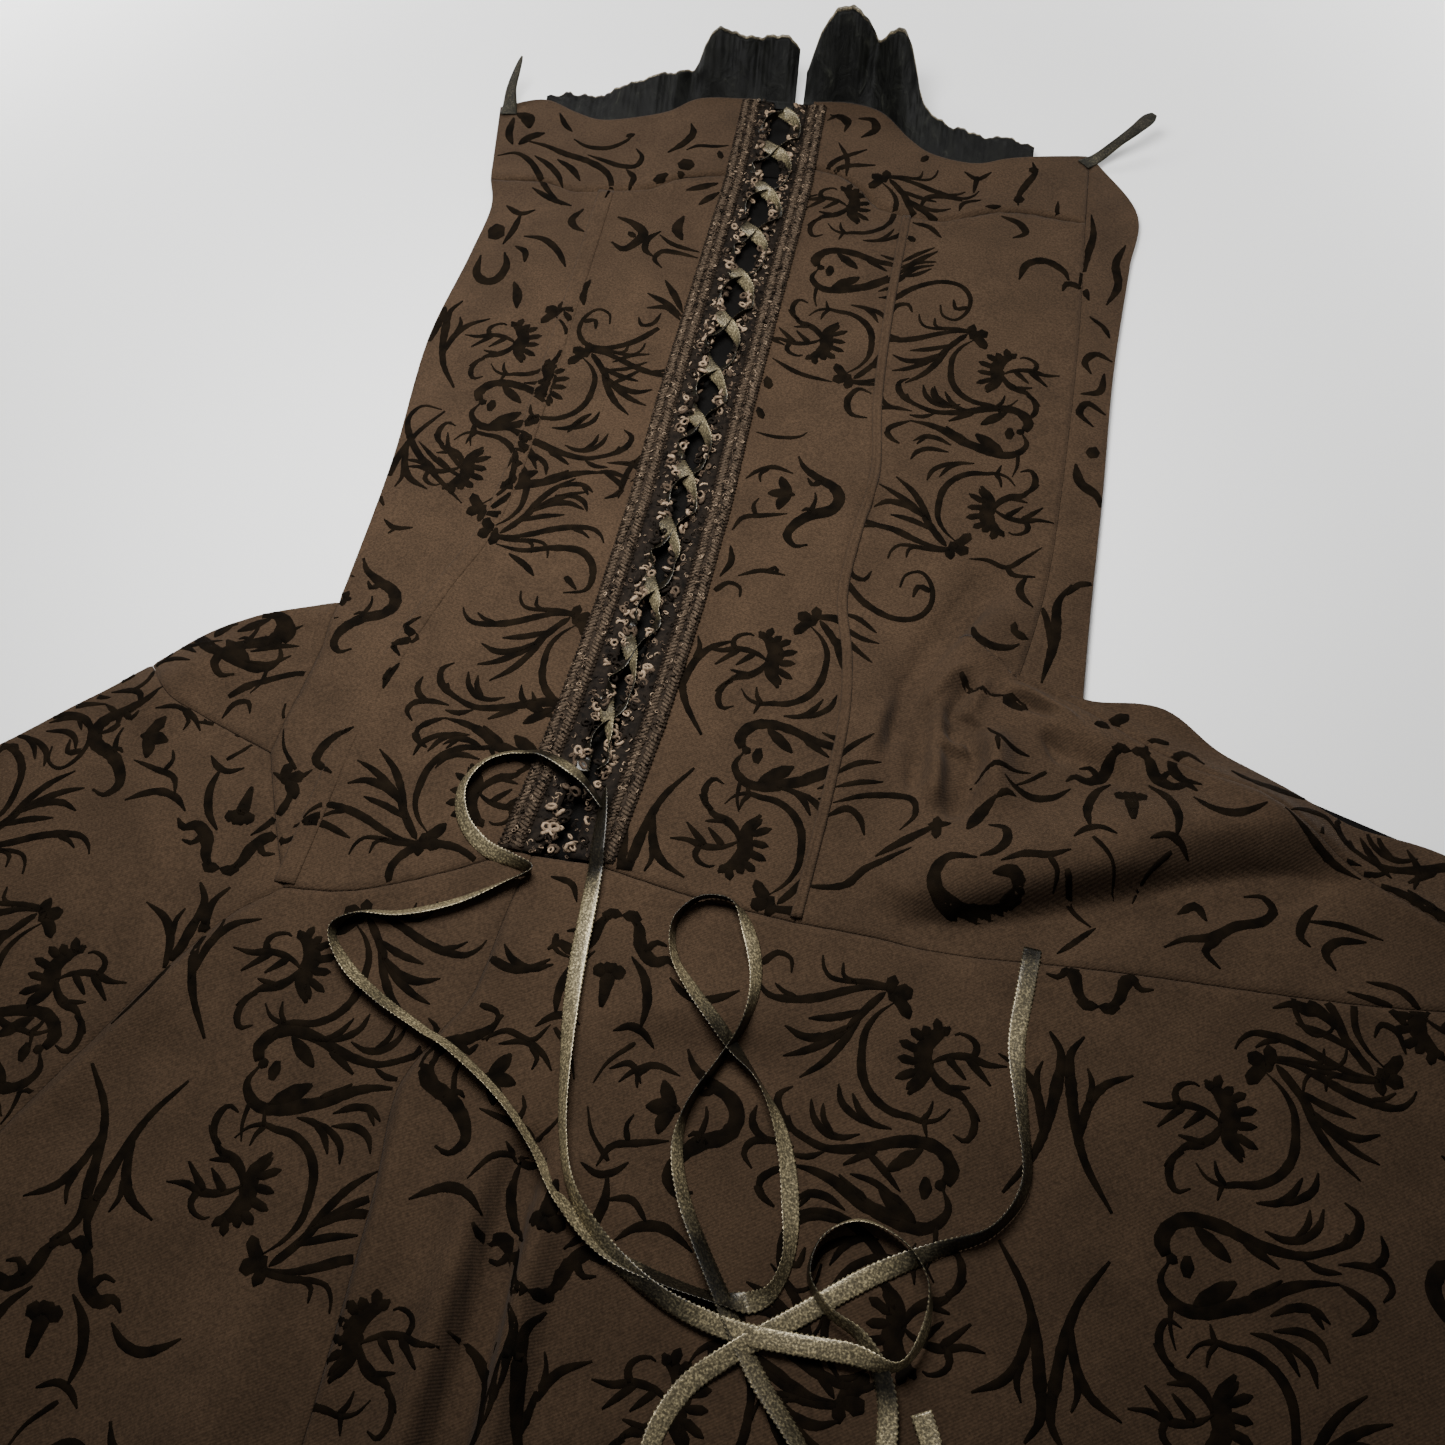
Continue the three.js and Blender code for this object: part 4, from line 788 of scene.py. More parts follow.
LEAF_SCROLL = [
    leaf(4, 17, -26, 21, -23, 26, -21, 33, -20.5, 40, -22.5, 48, -22),
    tail(3.8, 34, -21, 35.5, -16, 33, -12.5, 28, -11, 26, -12), tail(4.4, 24, -22, 28, -26, 32, -30),
    tail(4.4, 32, -21, 37, -26, 42, -31), leaf(5, 17, -25, 20, -31, 25, -35, 31, -37, 35, -41),
    tail(4, 24, -35, 29, -34, 34, -33), leaf(3.8, 30, -36, 36, -43, 37, -50, 34, -55, 29, -53),
    tail(3.6, 32, -39, 36, -42, 39, -46),
]
FAN = [
    tail(4, -2, 4, -13, 5, -23, 4, -28, 5, -31, 9, -32, 14), tail(3.4, -16, 4, -22, 6, -23, 12),
    leaf(4.8, -3, 3, -11, 3, -20, 0, -31, -5, -42, -8, -51, -8, -56, -4, -58, 0),
    tail(3.6, -40, -7, -46, -5, -50, -2), bar(4.4, -4, 2, -9, -4, -14, -11, -18, -17),
    leaf(4.2, -11, -7, -22, -12, -34, -15), leaf(4.8, -14, -13, -25, -21, -35, -23, -43, -20),
    leaf(4.4, -15, -15, -26, -24, -34, -29, -42, -32), leaf(4.4, -12, -9, -19, -23, -25, -32, -34, -40),
]
FLOWER = ROSETTE + BRACKET + PALMETTE + LEAF_SCROLL + FAN
HEART = [
    bar(10, -6, -1, -1, -1), bar(5, 0, 0, 4, 2),
    tail(7, 4, 2, 6, 7, 3, 13, -2, 16, -9, 16.5, -17, 15, -25, 12, -34, 9.5, -44, 8.5, -52, 11, -58, 14,
         -60, 19), leaf(4.4, -50, 11, -58, 14, -64, 20, -65, 27, -60, 31),
    leaf(6.6, -6, 14, -12, 9, -19, 3), tail(5, -24, 11, -30, 7, -36, 3), leaf(3.4, -44, 7, -50, 4, -57, 4),
    leaf(6.8, 3, 0, 6, -7, 3, -13, -3, -16.5, -11, -16, -20, -13, -28, -10, -38, -4, -47, -1, -56, 0),
    leaf(8.4, -6, -15, -13, -10, -21, -4), tail(4.6, -26, -9, -32, -5, -37, -1),
    leaf(4, -33, -14, -41, -10, -48, -10, -53, -14), tail(3.4, -47, -10, -51, -16),
    leaf(4, -56, 7, -66, 8, -73, 6, -75, 1, -71, -4), leaf(4, -73, 21, -74, 15, -71, 10, -64, 7),
    leaf(4, -66, -14, -67, -8, -63, -4, -56, 0), tail(4.6, -68, -10, -65, -14, -60, -17),
    leaf(4, -52, 27, -50, 20, -45, 15, -38, 13.5, -31, 16), leaf(3.2, -47, 26, -46, 20, -41, 14),
    leaf(4, -53, -27, -50, -21, -44, -18, -34, -19), tail(2.6, 2, -15, 2, -24, 0, -31),
]
HOOK = [
    tail(4.8, -27, -5, -15, 8, 0, 15, 11, 13, 17, 4, 16, -8, 10, -15, 3, -12, 1, -4),
    tail(4.6, 16, -4, 10, -6, 8, 1), leaf(3.6, -26, -17, -23, -8, -17, -6, -14, -12),
    leaf(3.6, -26, 16, -17, 18, -7, 25), leaf(3.6, -26, 22, -15, 29, -5, 31),
    leaf(3.6, -25, 27, -16, 36, -7, 43),
]
TREFOIL = [
    leaf(8, 7, 0, 0, 0, -7, -1), leaf(7, 5, 0, 1, 5, -2, 11), leaf(7, 5, 0, 1, -5, 0, -11),
    tail(3.6, 16, -12, 18, -1, 17, 3),
    leaf(8, 5, 26, 9, 19, 17, 13, 27, 7, 30, 0, 27, -7, 17, -12, 10, -19, 7, -27, 12, -33, 18, -31),
    tail(5, 20, 12, 15, 8, 12, 12), tail(5, 20, -12, 15, -8, 12, -10),
    leaf(3.8, 4, 14, -7, 17, -15, 13, -20, 7), tail(3.4, -9, 16, -13, 11, -12, 6),
    leaf(3.8, 5, -13, -7, -16, -17, -19, -21, -28), tail(3.4, -11, -16, -13, -10, -11, -5),
]
CRESCENTS = [
    tail(6, 2, 61, 5, 42, 10, 26, 21, 9), leaf(4.8, 7, 32, 10, 49, 16, 58, 27, 64),
    tail(5.4, 2, 58, 2, 69, 7, 77), tail(4, 10, 50, 11, 58, 9, 64),
]
HEAD = [
    tail(8, 0, 3, 0, -4, 0, -12), bar(7.4, 1, 3, 7, 5), bar(6, 0, 3, 2, 8),
    leaf(5, 8, 12, 15, 4, 19, -8, 18, -19), leaf(4, 7, -21, 14, -18, 20, -20, 25, -25),
    leaf(5, 26, 5, 33, -1, 42, -3, 50, 0, 56, 4), bar(6, 0, 30, 6, 30, 7, 26),
    leaf(7, 3, 31, 8, 26, 11, 17, 18, 11, 24, 13, 28, 9), tail(2.8, 17, -24, 8, -34, 4, -44),
    tail(4.4, 13, 15, 17, 20, 22, 19),
]
RIGHT_WAIST = [
    leaf(3.4, 163, 190, 172, 191, 182, 188, 190, 195, 198, 203), tail(4, 182, 188, 185, 184, 196, 184),
    leaf(5, 192, 184, 189, 176, 191, 169, 196, 164),
    leaf(5, 168, 148, 170, 140, 178, 136, 187, 138, 191, 141), bar(5, 188, 152, 188, 147, 195, 145),
    tail(4, 165, 119, 170, 114, 180, 111, 186, 112), bar(9, 186, 112, 191, 109, 198, 107),
    leaf(4.4, 180, 92, 184, 86, 190, 82, 200, 80), tail(3.4, 184, 83, 185, 75),
    leaf(3.4, 175, 61, 182, 67, 192, 69, 201, 71), tail(3, 208, 73, 201, 67, 194, 61),
    leaf(7, 186, 53, 181, 46, 175, 34), leaf(4.4, 186, 52, 191, 56, 195, 55),
    leaf(5, 184, 38, 191, 37, 192, 29, 187, 22, 181, 19),
    leaf(4, 115, 42, 128, 47, 142, 50, 150, 49, 152, 41, 146, 32), leaf(3.6, 112, 62, 120, 72, 129, 78),
    leaf(3.6, 113, 56, 122, 62, 134, 66), leaf(3.4, 115, 50, 125, 53, 136, 56),
    leaf(4, 112, 34, 122, 40, 128, 36, 131, 28), leaf(5, 137, 18, 145, 24, 155, 31, 163, 37),
    bar(5, 158, 36, 168, 38), bar(5, 162, 42, 162, 28),
    leaf(7.4, 180, 18, 168, 18, 163, 10, 165, 2, 175, -3, 190, 0, 201, 6),
    leaf(7, 187, 12, 196, 14, 199, 8, 192, 3), leaf(4.4, 190, 18, 200, 23, 210, 24, 219, 28),
    tail(3.6, 210, 23, 214, 18, 214, 11), leaf(4.4, 106, 0, 115, 0, 126, 3, 133, 11, 142, 17, 152, 23),
    tail(4, 218, 19, 224, 8, 232, 2), leaf(3.6, 218, -14, 226, -6, 234, 2),
    leaf(6, 262, -4, 270, 1, 282, 4, 292, 11, 303, 15, 308, 22, 304, 28, 296, 27),
    tail(5, 285, 4, 279, -3, 285, -10), leaf(5, 268, 14, 276, 19, 280, 12),
    bar(8, 228, 101, 236, 104, 244, 112), leaf(5.6, 277, 86, 270, 92, 263, 85, 266, 77, 275, 73),
    tail(4.6, 262, 97, 254, 97, 251, 87), leaf(6, 289, 85, 297, 79, 308, 77, 323, 76),
    leaf(4, 312, 64, 320, 68, 330, 68, 334, 62), leaf(4, 309, 64, 320, 54, 332, 46, 344, 41),
    leaf(5, 345, 62, 350, 52, 357, 44), leaf(4, 365, 60, 369, 50, 366, 40),
    leaf(5, 326, 27, 321, 20, 318, 10, 322, 6), leaf(5, 345, 12, 333, 10, 328, 4, 332, -3),
    leaf(3.6, 320, 18, 335, 18, 352, 14), leaf(3.6, 336, -12, 348, -14, 360, -18),
    leaf(3.6, 340, -20, 352, -20, 364, -26), leaf(4, 344, -6, 358, -8, 368, -20),
]
CENTRE_BITS = [
    leaf(3, 44, 258, 56, 256, 68, 258, 71, 261), leaf(3.8, 44, 313, 60, 304, 79, 300),
    bar(5, 42, 276, 46, 268), bar(6, 43, 299, 46, 290), leaf(4, 44, 180, 46, 170, 42, 160),
    leaf(4.4, 101, 294, 94, 297, 89, 288, 92, 278, 101, 276), leaf(3.6, 55, 502, 62, 488, 64, 470),
    leaf(4, 72, 528, 76, 520, 72, 512), leaf(4, 46, 528, 54, 525, 58, 518),
]
HIP_BITS = [
    leaf(4.4, -13, -50, -8, -56, 0, -58, 9, -54), tail(3.4, 7, -40, 8, -47, 16, -50),
    leaf(3.4, -12, -92, -3, -86, 8, -88, 14, -80), tail(3.4, -16, -78, -8, -80, -10, -92),
    leaf(3.6, -2, -14, 8, -16, 12, -24), leaf(3.6, 42, -94, 50, -90, 56, -98),
    leaf(3.6, 52, -146, 62, -144, 70, -152), leaf(3, -2, -148, 6, -136, 18, -134),
]
BUST_LEFT_BITS = [
    leaf(10, -152, 506, -144, 502, -140, 492), leaf(6, -153, 502, -152, 486, -147, 476),
    leaf(8, -143, 476, -137, 484, -129, 488),
    leaf(6, -139, 480, -125, 476, -112, 470, -93, 463, -81, 454, -76, 443, -77, 431),
    leaf(5, -154, 465, -143, 468, -132, 461, -122, 447, -115, 436, -102, 422),
    leaf(5, -130, 466, -120, 459, -111, 449, -106, 440), leaf(5, -115, 464, -104, 456, -96, 445),
    leaf(4.6, -109, 484, -99, 478, -86, 478, -76, 486, -73, 493), bar(5, -77, 490, -72, 493),
    leaf(5, -97, 470, -86, 466, -74, 462, -65, 463, -63, 472, -68, 479),
    leaf(5, -70, 459, -64, 452, -65, 442), leaf(6, -39, 508, -36, 499, -40, 488, -48, 478),
    bar(11, -37, 473, -32, 463), leaf(3.8, -37, 482, -31, 487, -20, 488, -12, 490),
    bar(4.4, -17, 484, -14, 477), bar(12, -50, 456, -45, 452), leaf(4.4, -38, 454, -26, 460, -12, 462),
    leaf(6, -30, 445, -20, 450, -12, 454), leaf(6, -20, 433, -15, 440, -10, 446),
    bar(5, -38, 461, -34, 457), leaf(4, -124, 508, -118, 498, -112, 492),
]
BODICE_LEFT_BITS = BUST_LEFT_BITS + [
    leaf(7.4, -27, 422, -29, 411, -24, 401), leaf(5, -38, 407, -44, 400, -44, 390, -38, 385),
    leaf(4, -38, 404, -29, 397, -12, 392), leaf(4.6, -31, 376, -37, 383, -34, 390, -25, 390, -12, 387),
    leaf(7.6, -66, 416, -56, 412, -48, 404, -51, 395, -57, 389, -65, 394), bar(5, -57, 404, -52, 400),
    leaf(5.4, -88, 420, -93, 410, -90, 404, -83, 400), leaf(5.4, -118, 392, -106, 391, -95, 382, -87, 369),
    leaf(5, -121, 383, -114, 379, -112, 370), leaf(5, -136, 419, -125, 412, -117, 416),
    leaf(5, -125, 412, -126, 397, -129, 384), bar(12, -138, 402, -134, 388),
    leaf(7, -140, 374, -138, 358, -131, 352, -125, 354, -122, 366, -126, 377),
    leaf(6.4, -114, 353, -110, 345, -107, 332), leaf(6, -70, 360, -72, 350, -69, 339),
    leaf(5, -35, 354, -22, 347, -12, 338), leaf(5, -27, 366, -19, 354, -12, 341),
    leaf(4.4, -33, 342, -22, 344, -12, 335), leaf(5, -124, 436, -108, 426, -96, 422),
    leaf(4.6, -128, 250, -140, 252, -145, 243, -140, 229, -125, 210, -99, 187),
    leaf(3.6, -134, 226, -118, 212, -100, 202), leaf(3.6, -120, 234, -116, 222, -104, 208),
    leaf(3.4, -137, 213, -130, 212, -124, 209), leaf(3.6, -137, 172, -130, 167, -120, 168),
    tail(3, -128, 168, -132, 163), leaf(5.4, -99, 113, -105, 106, -98, 100, -107, 94, -102, 88),
    leaf(4.6, -101, 84, -104, 76, -104, 68), leaf(5.6, -111, 45, -121, 37, -124, 26, -114, 20),
    leaf(4.4, -123, -8, -112, -5, -96, -10), leaf(4.6, -56, 243, -50, 254, -46, 258),
    leaf(4, -36, 217, -28, 219, -16, 216), leaf(4, -14, 232, -18, 220, -19, 202),
    leaf(5.4, -60, -28, -71, -29, -73, -20, -64, -9, -48, -7, -30, -16),
    leaf(3.8, -44, -30, -36, -21, -26, -22),
    leaf(5, -74, 163, -60, 161, -44, 165, -30, 165, -22, 156, -22, 142, -33, 138),
    tail(4.6, -34, 148, -27, 141), leaf(4.4, -66, 158, -56, 152, -50, 146),
]
TOP_RIGHT_BITS = [
    leaf(5, 45, 522, 51, 528, 58, 524, 57, 513), leaf(6.4, 64, 527, 73, 527, 76, 518, 68, 509),
    leaf(5, 50, 468, 55, 484, 73, 498), leaf(5, 51, 468, 62, 480, 80, 484), bar(8, 107, 495, 111, 493),
    leaf(4, 134, 485, 142, 480, 150, 487), tail(4.4, 142, 482, 141, 468),
    leaf(5.4, 174, 500, 176, 491, 172, 480, 168, 469, 168, 459), bar(7, 175, 496, 175, 490),
    bar(7.4, 169, 468, 167, 461), leaf(5, 111, 448, 114, 458, 125, 461, 135, 459),
    leaf(3.8, 134, 449, 136, 457, 146, 461), leaf(4, 149, 455, 158, 457),
    leaf(5.4, 159, 448, 170, 443, 174, 435, 167, 430), leaf(3.6, 191, 466, 192, 453, 199, 450),
    leaf(6.4, 173, 395, 177, 409, 187, 413, 198, 406, 201, 399),
    leaf(5.4, 211, 457, 213, 440, 210, 420, 207, 394), leaf(6, 198, 390, 200, 396, 209, 394, 213, 385),
    leaf(6, 232, 436, 227, 419, 229, 401, 223, 384), leaf(4.4, 126, 424, 118, 432, 108, 434),
    bar(5, 107, 422, 111, 418), leaf(4.6, 125, 412, 114, 402, 104, 388),
    leaf(4.4, 124, 400, 114, 396, 103, 380), leaf(5, 228, 340, 219, 344, 213, 336, 217, 328),
    leaf(5, 226, 300, 216, 306, 212, 298, 220, 290), leaf(5, 224, 330, 222, 316, 212, 312),
    bar(8, 222, 276, 219, 268), leaf(7, 212, 262, 215, 250, 224, 243, 226, 236),
    leaf(6, 214, 183, 208, 170, 208, 150, 203, 122), leaf(4.6, 200, 168, 205, 152, 206, 140),
    leaf(4.4, 226, 186, 218, 184, 212, 176), leaf(4, 214, 372, 222, 366, 226, 358),
]


def mirrored(strokes):
    """The strokes and their mirror images across the motif's upright line."""
    return strokes + [(kind, width, [(-x, y) for x, y in way]) for kind, width, way in strokes]


def upside_too(strokes):
    """The strokes and their images upside down."""
    return strokes + [(kind, width, [(x, -y) for x, y in way]) for kind, width, way in strokes]


MOTIFS = {
    "flower": FLOWER, "heart": HEART, "hook": HOOK, "trefoil": TREFOIL,
    "crescents": upside_too(mirrored(CRESCENTS)), "rosette": ROSETTE, "head": mirrored(HEAD),
    "right_waist": RIGHT_WAIST, "centre_bits": CENTRE_BITS, "hip_bits": HIP_BITS,
    "bust_left_bits": BUST_LEFT_BITS, "bodice_left_bits": BODICE_LEFT_BITS, "top_right_bits": TOP_RIGHT_BITS,
    "sprig": [leaf(3.6, -11, -3, 0, 2, 12, 1), leaf(3, 2, 2, 7, 5, 8, 1)],
    "curl": [tail(4, -6, -5, 0, 1, 6, -1, 7, -7)],
}

# Where each motif lies on the panels: its place and whether it is turned over sideways or upside down.
# A motif that runs on over a seam is in both panels' rows.
PRINT = {
    "centre_front_right": [
        ("heart", 62, 388, -1, 1), ("flower", 86, 306, -1, -1), ("trefoil", 64, 218, 1, 1),
        ("flower", 91, 139, -1, 1), ("heart", 74, 62, -1, 1), ("flower", 94, -9, -1, -1),
        ("crescents", 29, 59, 1, 1), ("flower", 86, 470, -1, 1), ("crescents", 22, 388, 1, 1),
        ("sprig", 62, 165, 1, 1), ("curl", 47, 156, 1, 1), ("centre_bits", 0, 0, 1, 1),
    ],
    "side_front_right": [
        ("flower", 152, 345, 1, 1), ("heart", 180, 278, 1, 1), ("flower", 155, 198, 1, -1),
        ("hook", 130, 372, 1, 1), ("hook", 130, 163, 1, -1), ("top_right_bits", 0, 0, 1, 1),
        ("right_waist", 0, 0, 1, 1), ("head", 245, 60, 1, 1),
    ],
    "side_back_right": [
        ("top_right_bits", 0, 0, 1, 1), ("right_waist", 0, 0, 1, 1), ("head", 245, 60, 1, 1),
        ("heart", 400, 40, 1, 1), ("flower", 450, 0, 1, 1), ("heart", 530, -60, 1, 1),
        ("flower", 620, -110, 1, 1),
    ],
    "centre_front_left": [
        ("bodice_left_bits", 0, 0, 1, 1), ("flower", -60, 300, -1, 1), ("hook", -50, 322, -1, -1),
        ("heart", -86, 218, -1, 1), ("flower", -78, 172, -1, -1), ("flower", -22, 122, 1, 1),
        ("heart", -15, 58, 1, 1), ("flower", -62, -4, 1, -1),
    ],
    "side_front_left": [
        ("bodice_left_bits", 0, 0, 1, 1), ("heart", -105, 257, -1, 1), ("flower", -88, 186, -1, -1),
        ("crescents", -147, 258, 1, 1), ("flower", -83, 330, -1, 1), ("trefoil", -145, 120, 1, 1),
        ("rosette", -134, 13, 1, 1), ("head", -149, -4, 1, -1),
    ],
    "bust_band_left": [("bust_left_bits", 0, 0, 1, 1)],
    "bust_band_right": [
        ("centre_bits", 0, 0, 1, 1), ("flower", 86, 470, -1, 1), ("top_right_bits", 0, 0, 1, 1),
    ],
    "side_godet_left": [("heart", -168, 88, 1, 1), ("hook", -150, 58, 1, 1), ("trefoil", -196, 96, 1, 1)],
    "skirt_side_left": [
        ("flower", -217, -70, 1, 1), ("heart", -196, -127, 1, 1), ("flower", -224, -198, 1, -1),
        ("trefoil", -204, 26, -1, 1), ("crescents", -148, -119, 1, 1), ("head", -149, -4, 1, -1),
        ("hook", -252, 18, 1, 1), ("sprig", -176, 36, -1, 1), ("head", -149, -226, 1, 1),
        ("trefoil", -310, -119, 1, 1), ("head", -344, -72, 1, 1), ("head", -344, -166, 1, -1),
    ],
    "skirt_front_left": [
        ("flower", -80, -48, -1, 1), ("heart", -97, -117, -1, 1), ("flower", -73, -190, -1, -1),
        ("crescents", -148, -119, 1, 1), ("head", -149, -4, 1, -1), ("hip_bits", 0, 0, 1, 1),
        ("head", -149, -226, 1, 1), ("trefoil", -6, -106, -1, 1),
    ],
    "skirt_front_right": [
        ("flower", 153, -45, 1, 1), ("heart", 177, -120, 1, 1), ("flower", 153, -198, 1, -1),
        ("crescents", 224, -126, 1, 1), ("flower", 303, -50, -1, 1), ("heart", 270, -131, -1, 1),
        ("flower", 301, -207, -1, -1), ("head", 236, -5, 1, -1), ("trefoil", 67, -106, 1, 1),
        ("trefoil", -1, -106, -1, 1), ("hip_bits", 0, 0, 1, 1), ("head", 33, -57, 1, 1),
        ("flower", -43, -187, 1, 1), ("flower", 109, -187, -1, 1), ("hook", -73, -151, 1, 1),
        ("hook", 139, -151, -1, 1), ("head", 33, -155, 1, -1), ("head", 229, -246, 1, 1),
        ("curl", 102, -34, 1, 1), ("hook", 332, -18, -1, 1),
    ],
}
# Beyond what is listed one by one, the same half-drop repeat: each axis with a level of its hearts, and the
# fields that it fills
COLUMNS = {
    "skirt_side_left": [(-148, -119), (-344, 41), (-540, -119)],
    "skirt_front_left": [(-148, -119), (33, 53)],
    "skirt_front_right": [(33, 53), (229, -126), (425, 34), (621, -126)],
}
FIELDS = {
    "skirt_side_left": [(-600, -262, -390, 60), (-262, -150, -390, -240)],
    "skirt_front_left": [(-290, -20, -430, -245)],
    "skirt_front_right": [(-60, 345, -430, -252), (345, 760, -430, 20)],
}
REPEAT = {"heart": 52, "flower": (76, 78), "hook": (106, 114), "trefoil": (34, 160), "head": 112,
          "length": 320}


def column_motifs(columns, within):
    """The motifs of the regular repeat whose places are inside a field."""
    rows = []
    for axis, level in columns:
        for base in (level + turn * REPEAT["length"] for turn in (-2, -1, 0, 1)):
            rows.append(("crescents", axis, base, 1, 1))
            for side in (1, -1):
                rows.append(("heart", axis - side * REPEAT["heart"], base, side, 1))
                out, up = REPEAT["trefoil"]
                rows.append(("trefoil", axis + side * out, base + up, side, 1))
            for up in (1, -1):
                rows.append(("head", axis, base + up * REPEAT["head"], 1, -up))
                for side in (1, -1):
                    for motif in ("flower", "hook"):
                        out, along_axis = REPEAT[motif]
                        rows.append((motif, axis - side * out, base + up * along_axis, side, up))
    left, right, low, high = within
    return [row for row in rows if left < row[1] < right and low < row[2] < high]


def inside_panel(outline, x, y):
    """Which places lie inside a closed outline."""
    ax, ay = outline[:, 0], outline[:, 1]
    bx, by = np.roll(ax, -1), np.roll(ay, -1)
    crosses = (ay[None] > y[:, None]) != (by[None] > y[:, None])
    slope = (bx - ax) / np.where(np.abs(by - ay) < 1e-9, 1e-9, by - ay)
    return ((crosses & (x[:, None] < slope[None] * (y[:, None] - ay[None]) + ax[None])).sum(1) % 2) == 1


TAPERS = {
    "leaf": lambda t: np.maximum(0.2, np.sin(np.pi * np.clip(t, 0.02, 0.98)) ** 0.6),
    "tail": lambda t: np.minimum(1, (t + 0.05) * 8) ** 0.5 * (1.06 - t) ** 0.5,
    "bar": lambda t: np.sqrt(np.clip(1 - np.abs(2 * t - 1) ** 4, 0.03, 1)),
}
FLOCK = {"step": 2.1, "back_step": 6.6, "proud": 0.35, "slim": 0.86, "ragged": (0.9, 1.1), "least_room": 0.06,
         "profile": [(0.5, 0.02), (0.32, 1.0), (-0.32, 1.0), (-0.5, 0.02)]}


def flock(name, motifs, outline, height, material, up=1, step=FLOCK["step"]):
    """Raised strokes of the print on one panel, cut off at its seams."""
    runs = []
    wobble = random.Random(len(motifs) * 7 + 3)
    for motif, at_x, at_y, flip_x, flip_y in motifs:
        for kind, width, way in MOTIFS[motif]:
            way = [(at_x + x * flip_x, at_y + y * flip_y) for x, y in way]
            dense = spline(way, 8)
            count = max(4, int(line_length(dense) / step))
            shares = np.linspace(0, 1, count + 1)
            places = along(dense, shares)
            ragged = np.array([wobble.uniform(*FLOCK["ragged"]) for _ in shares])
            runs.append((places, side_of(places), width * FLOCK["slim"] * TAPERS[kind](shares) * ragged))
    middles, sides, widths = (np.concatenate([run[k] for run in runs]) for k in range(3))
    kept = inside_panel(outline, *middles.T)
    room = {}
    for way in (1, -1):
        room[way] = np.full(len(middles), FLOCK["least_room"])
        for reach in (0.2, 0.35, 0.5):
            inside = inside_panel(outline, *(middles + sides * (way * reach * widths)[:, None]).T)
            room[way] = np.where(inside & kept, reach, room[way])
    across = len(FLOCK["profile"])
    flat, faces = [], []
    start = base = 0
    for middle, *_ in runs:
        keep = [*kept[start:start + len(middle)], False]
        first = None
        for i, here in enumerate(keep):
            if here:
                first = i if first is None else first
                continue
            if first is not None and i - first >= 2:
                rows = slice(start + first, start + i)
                for offset, rise in FLOCK["profile"]:
                    reach = offset * 2 * room[1 if offset > 0 else -1][rows] * widths[rows]
                    flat.append((middles[rows] + sides[rows] * reach[:, None], rise))
                made = [tuple(base + k for k in face) for face in strip_faces(i - first, across)]
                faces += made if up > 0 else turned_over(made)
                base += (i - first) * across
            first = None
        start += len(middle)
    points = np.concatenate([part for part, _ in flat])
    lift = np.concatenate([np.full(len(part), rise) for part, rise in flat])
    z = height(points[:, 0], points[:, 1]) + up * FLOCK["proud"] * lift
    return new_piece(name, np.column_stack([points, z]), faces, material, "flocked_cloth")


def strip_faces(length, across):
    """Faces of a raised stroke whose points run line by line, with its two ends closed."""
    faces = []
    for k in range(across - 1):
        faces += [(k * length + i, k * length + i + 1, (k + 1) * length + i + 1, (k + 1) * length + i)
                  for i in range(length - 1)]
    starts = [k * length for k in range(across)]
    ends = [tuple(starts), tuple(place + length - 1 for place in reversed(starts))]
    return turned_over(faces + ends)


def outline_of(edges):
    return np.concatenate([edges["top"], edges["right"], edges["bottom"][::-1], edges["left"][::-1]])


flock_material = flock_pile()
for name, motifs in PRINT.items():
    extra = [column_motifs(COLUMNS[name], field) for field in FIELDS.get(name, [])]
    flock("print_" + name, sum(extra, list(motifs)), outline_of(edges_of[name]), cloth_height, flock_material)


def laid_strip(name, offsets, heights, material, slot, step=2.5, base=0.3):
    """A trim along the laced strip, from its lines' offsets and their heights over the cloth."""
    y = np.linspace(STRIP["top"], STRIP["end"], int((STRIP["top"] - STRIP["end"]) / step) + 1)
    upper, lower = [], []
    for offset, height in sorted(zip(offsets, heights)):
        places = strip_line(offset, y)
        under = front_top(places[:, 0], places[:, 1])
        upper.append(np.column_stack([places, under + height]))
        lower.append(np.column_stack([places, under + base]))
    return new_piece(name, *wall_of_lines(upper, lower), material, slot)


def side_word(side):
    return "right" if side > 0 else "left"


def copies(name, model, places, material_of, materials, slot):
    """Many small copies of one model, each with its own place, turn and size, as one piece."""
    points, polygons = model
    vertices, faces, looks = [], [], []
    for at, turn, size in places:
        base = len(vertices) * len(points)
        vertices.append((points * size) @ np.array(turn.to_matrix()).T + at)
        faces += [tuple(i + base for i in face) for face in polygons]
        looks += [material_of(at)] * len(polygons)
    piece = new_piece(name, np.concatenate(vertices), faces, materials[0], slot)
    for material in materials[1:]:
        piece.data.materials.append(material)
    piece.data.polygons.foreach_set("material_index", looks)
    return piece


def model_of(maker, **sizes):
    """The points and faces of a primitive, taken once and then copied."""
    bpy.ops.object.select_all(action="DESELECT")
    maker(**sizes)
    shape = bpy.context.object
    points = np.array([tuple(vertex.co) for vertex in shape.data.vertices])
    polygons = [tuple(face.vertices) for face in shape.data.polygons]
    mesh = shape.data
    bpy.data.objects.remove(shape)
    bpy.data.meshes.remove(mesh)
    return points, polygons


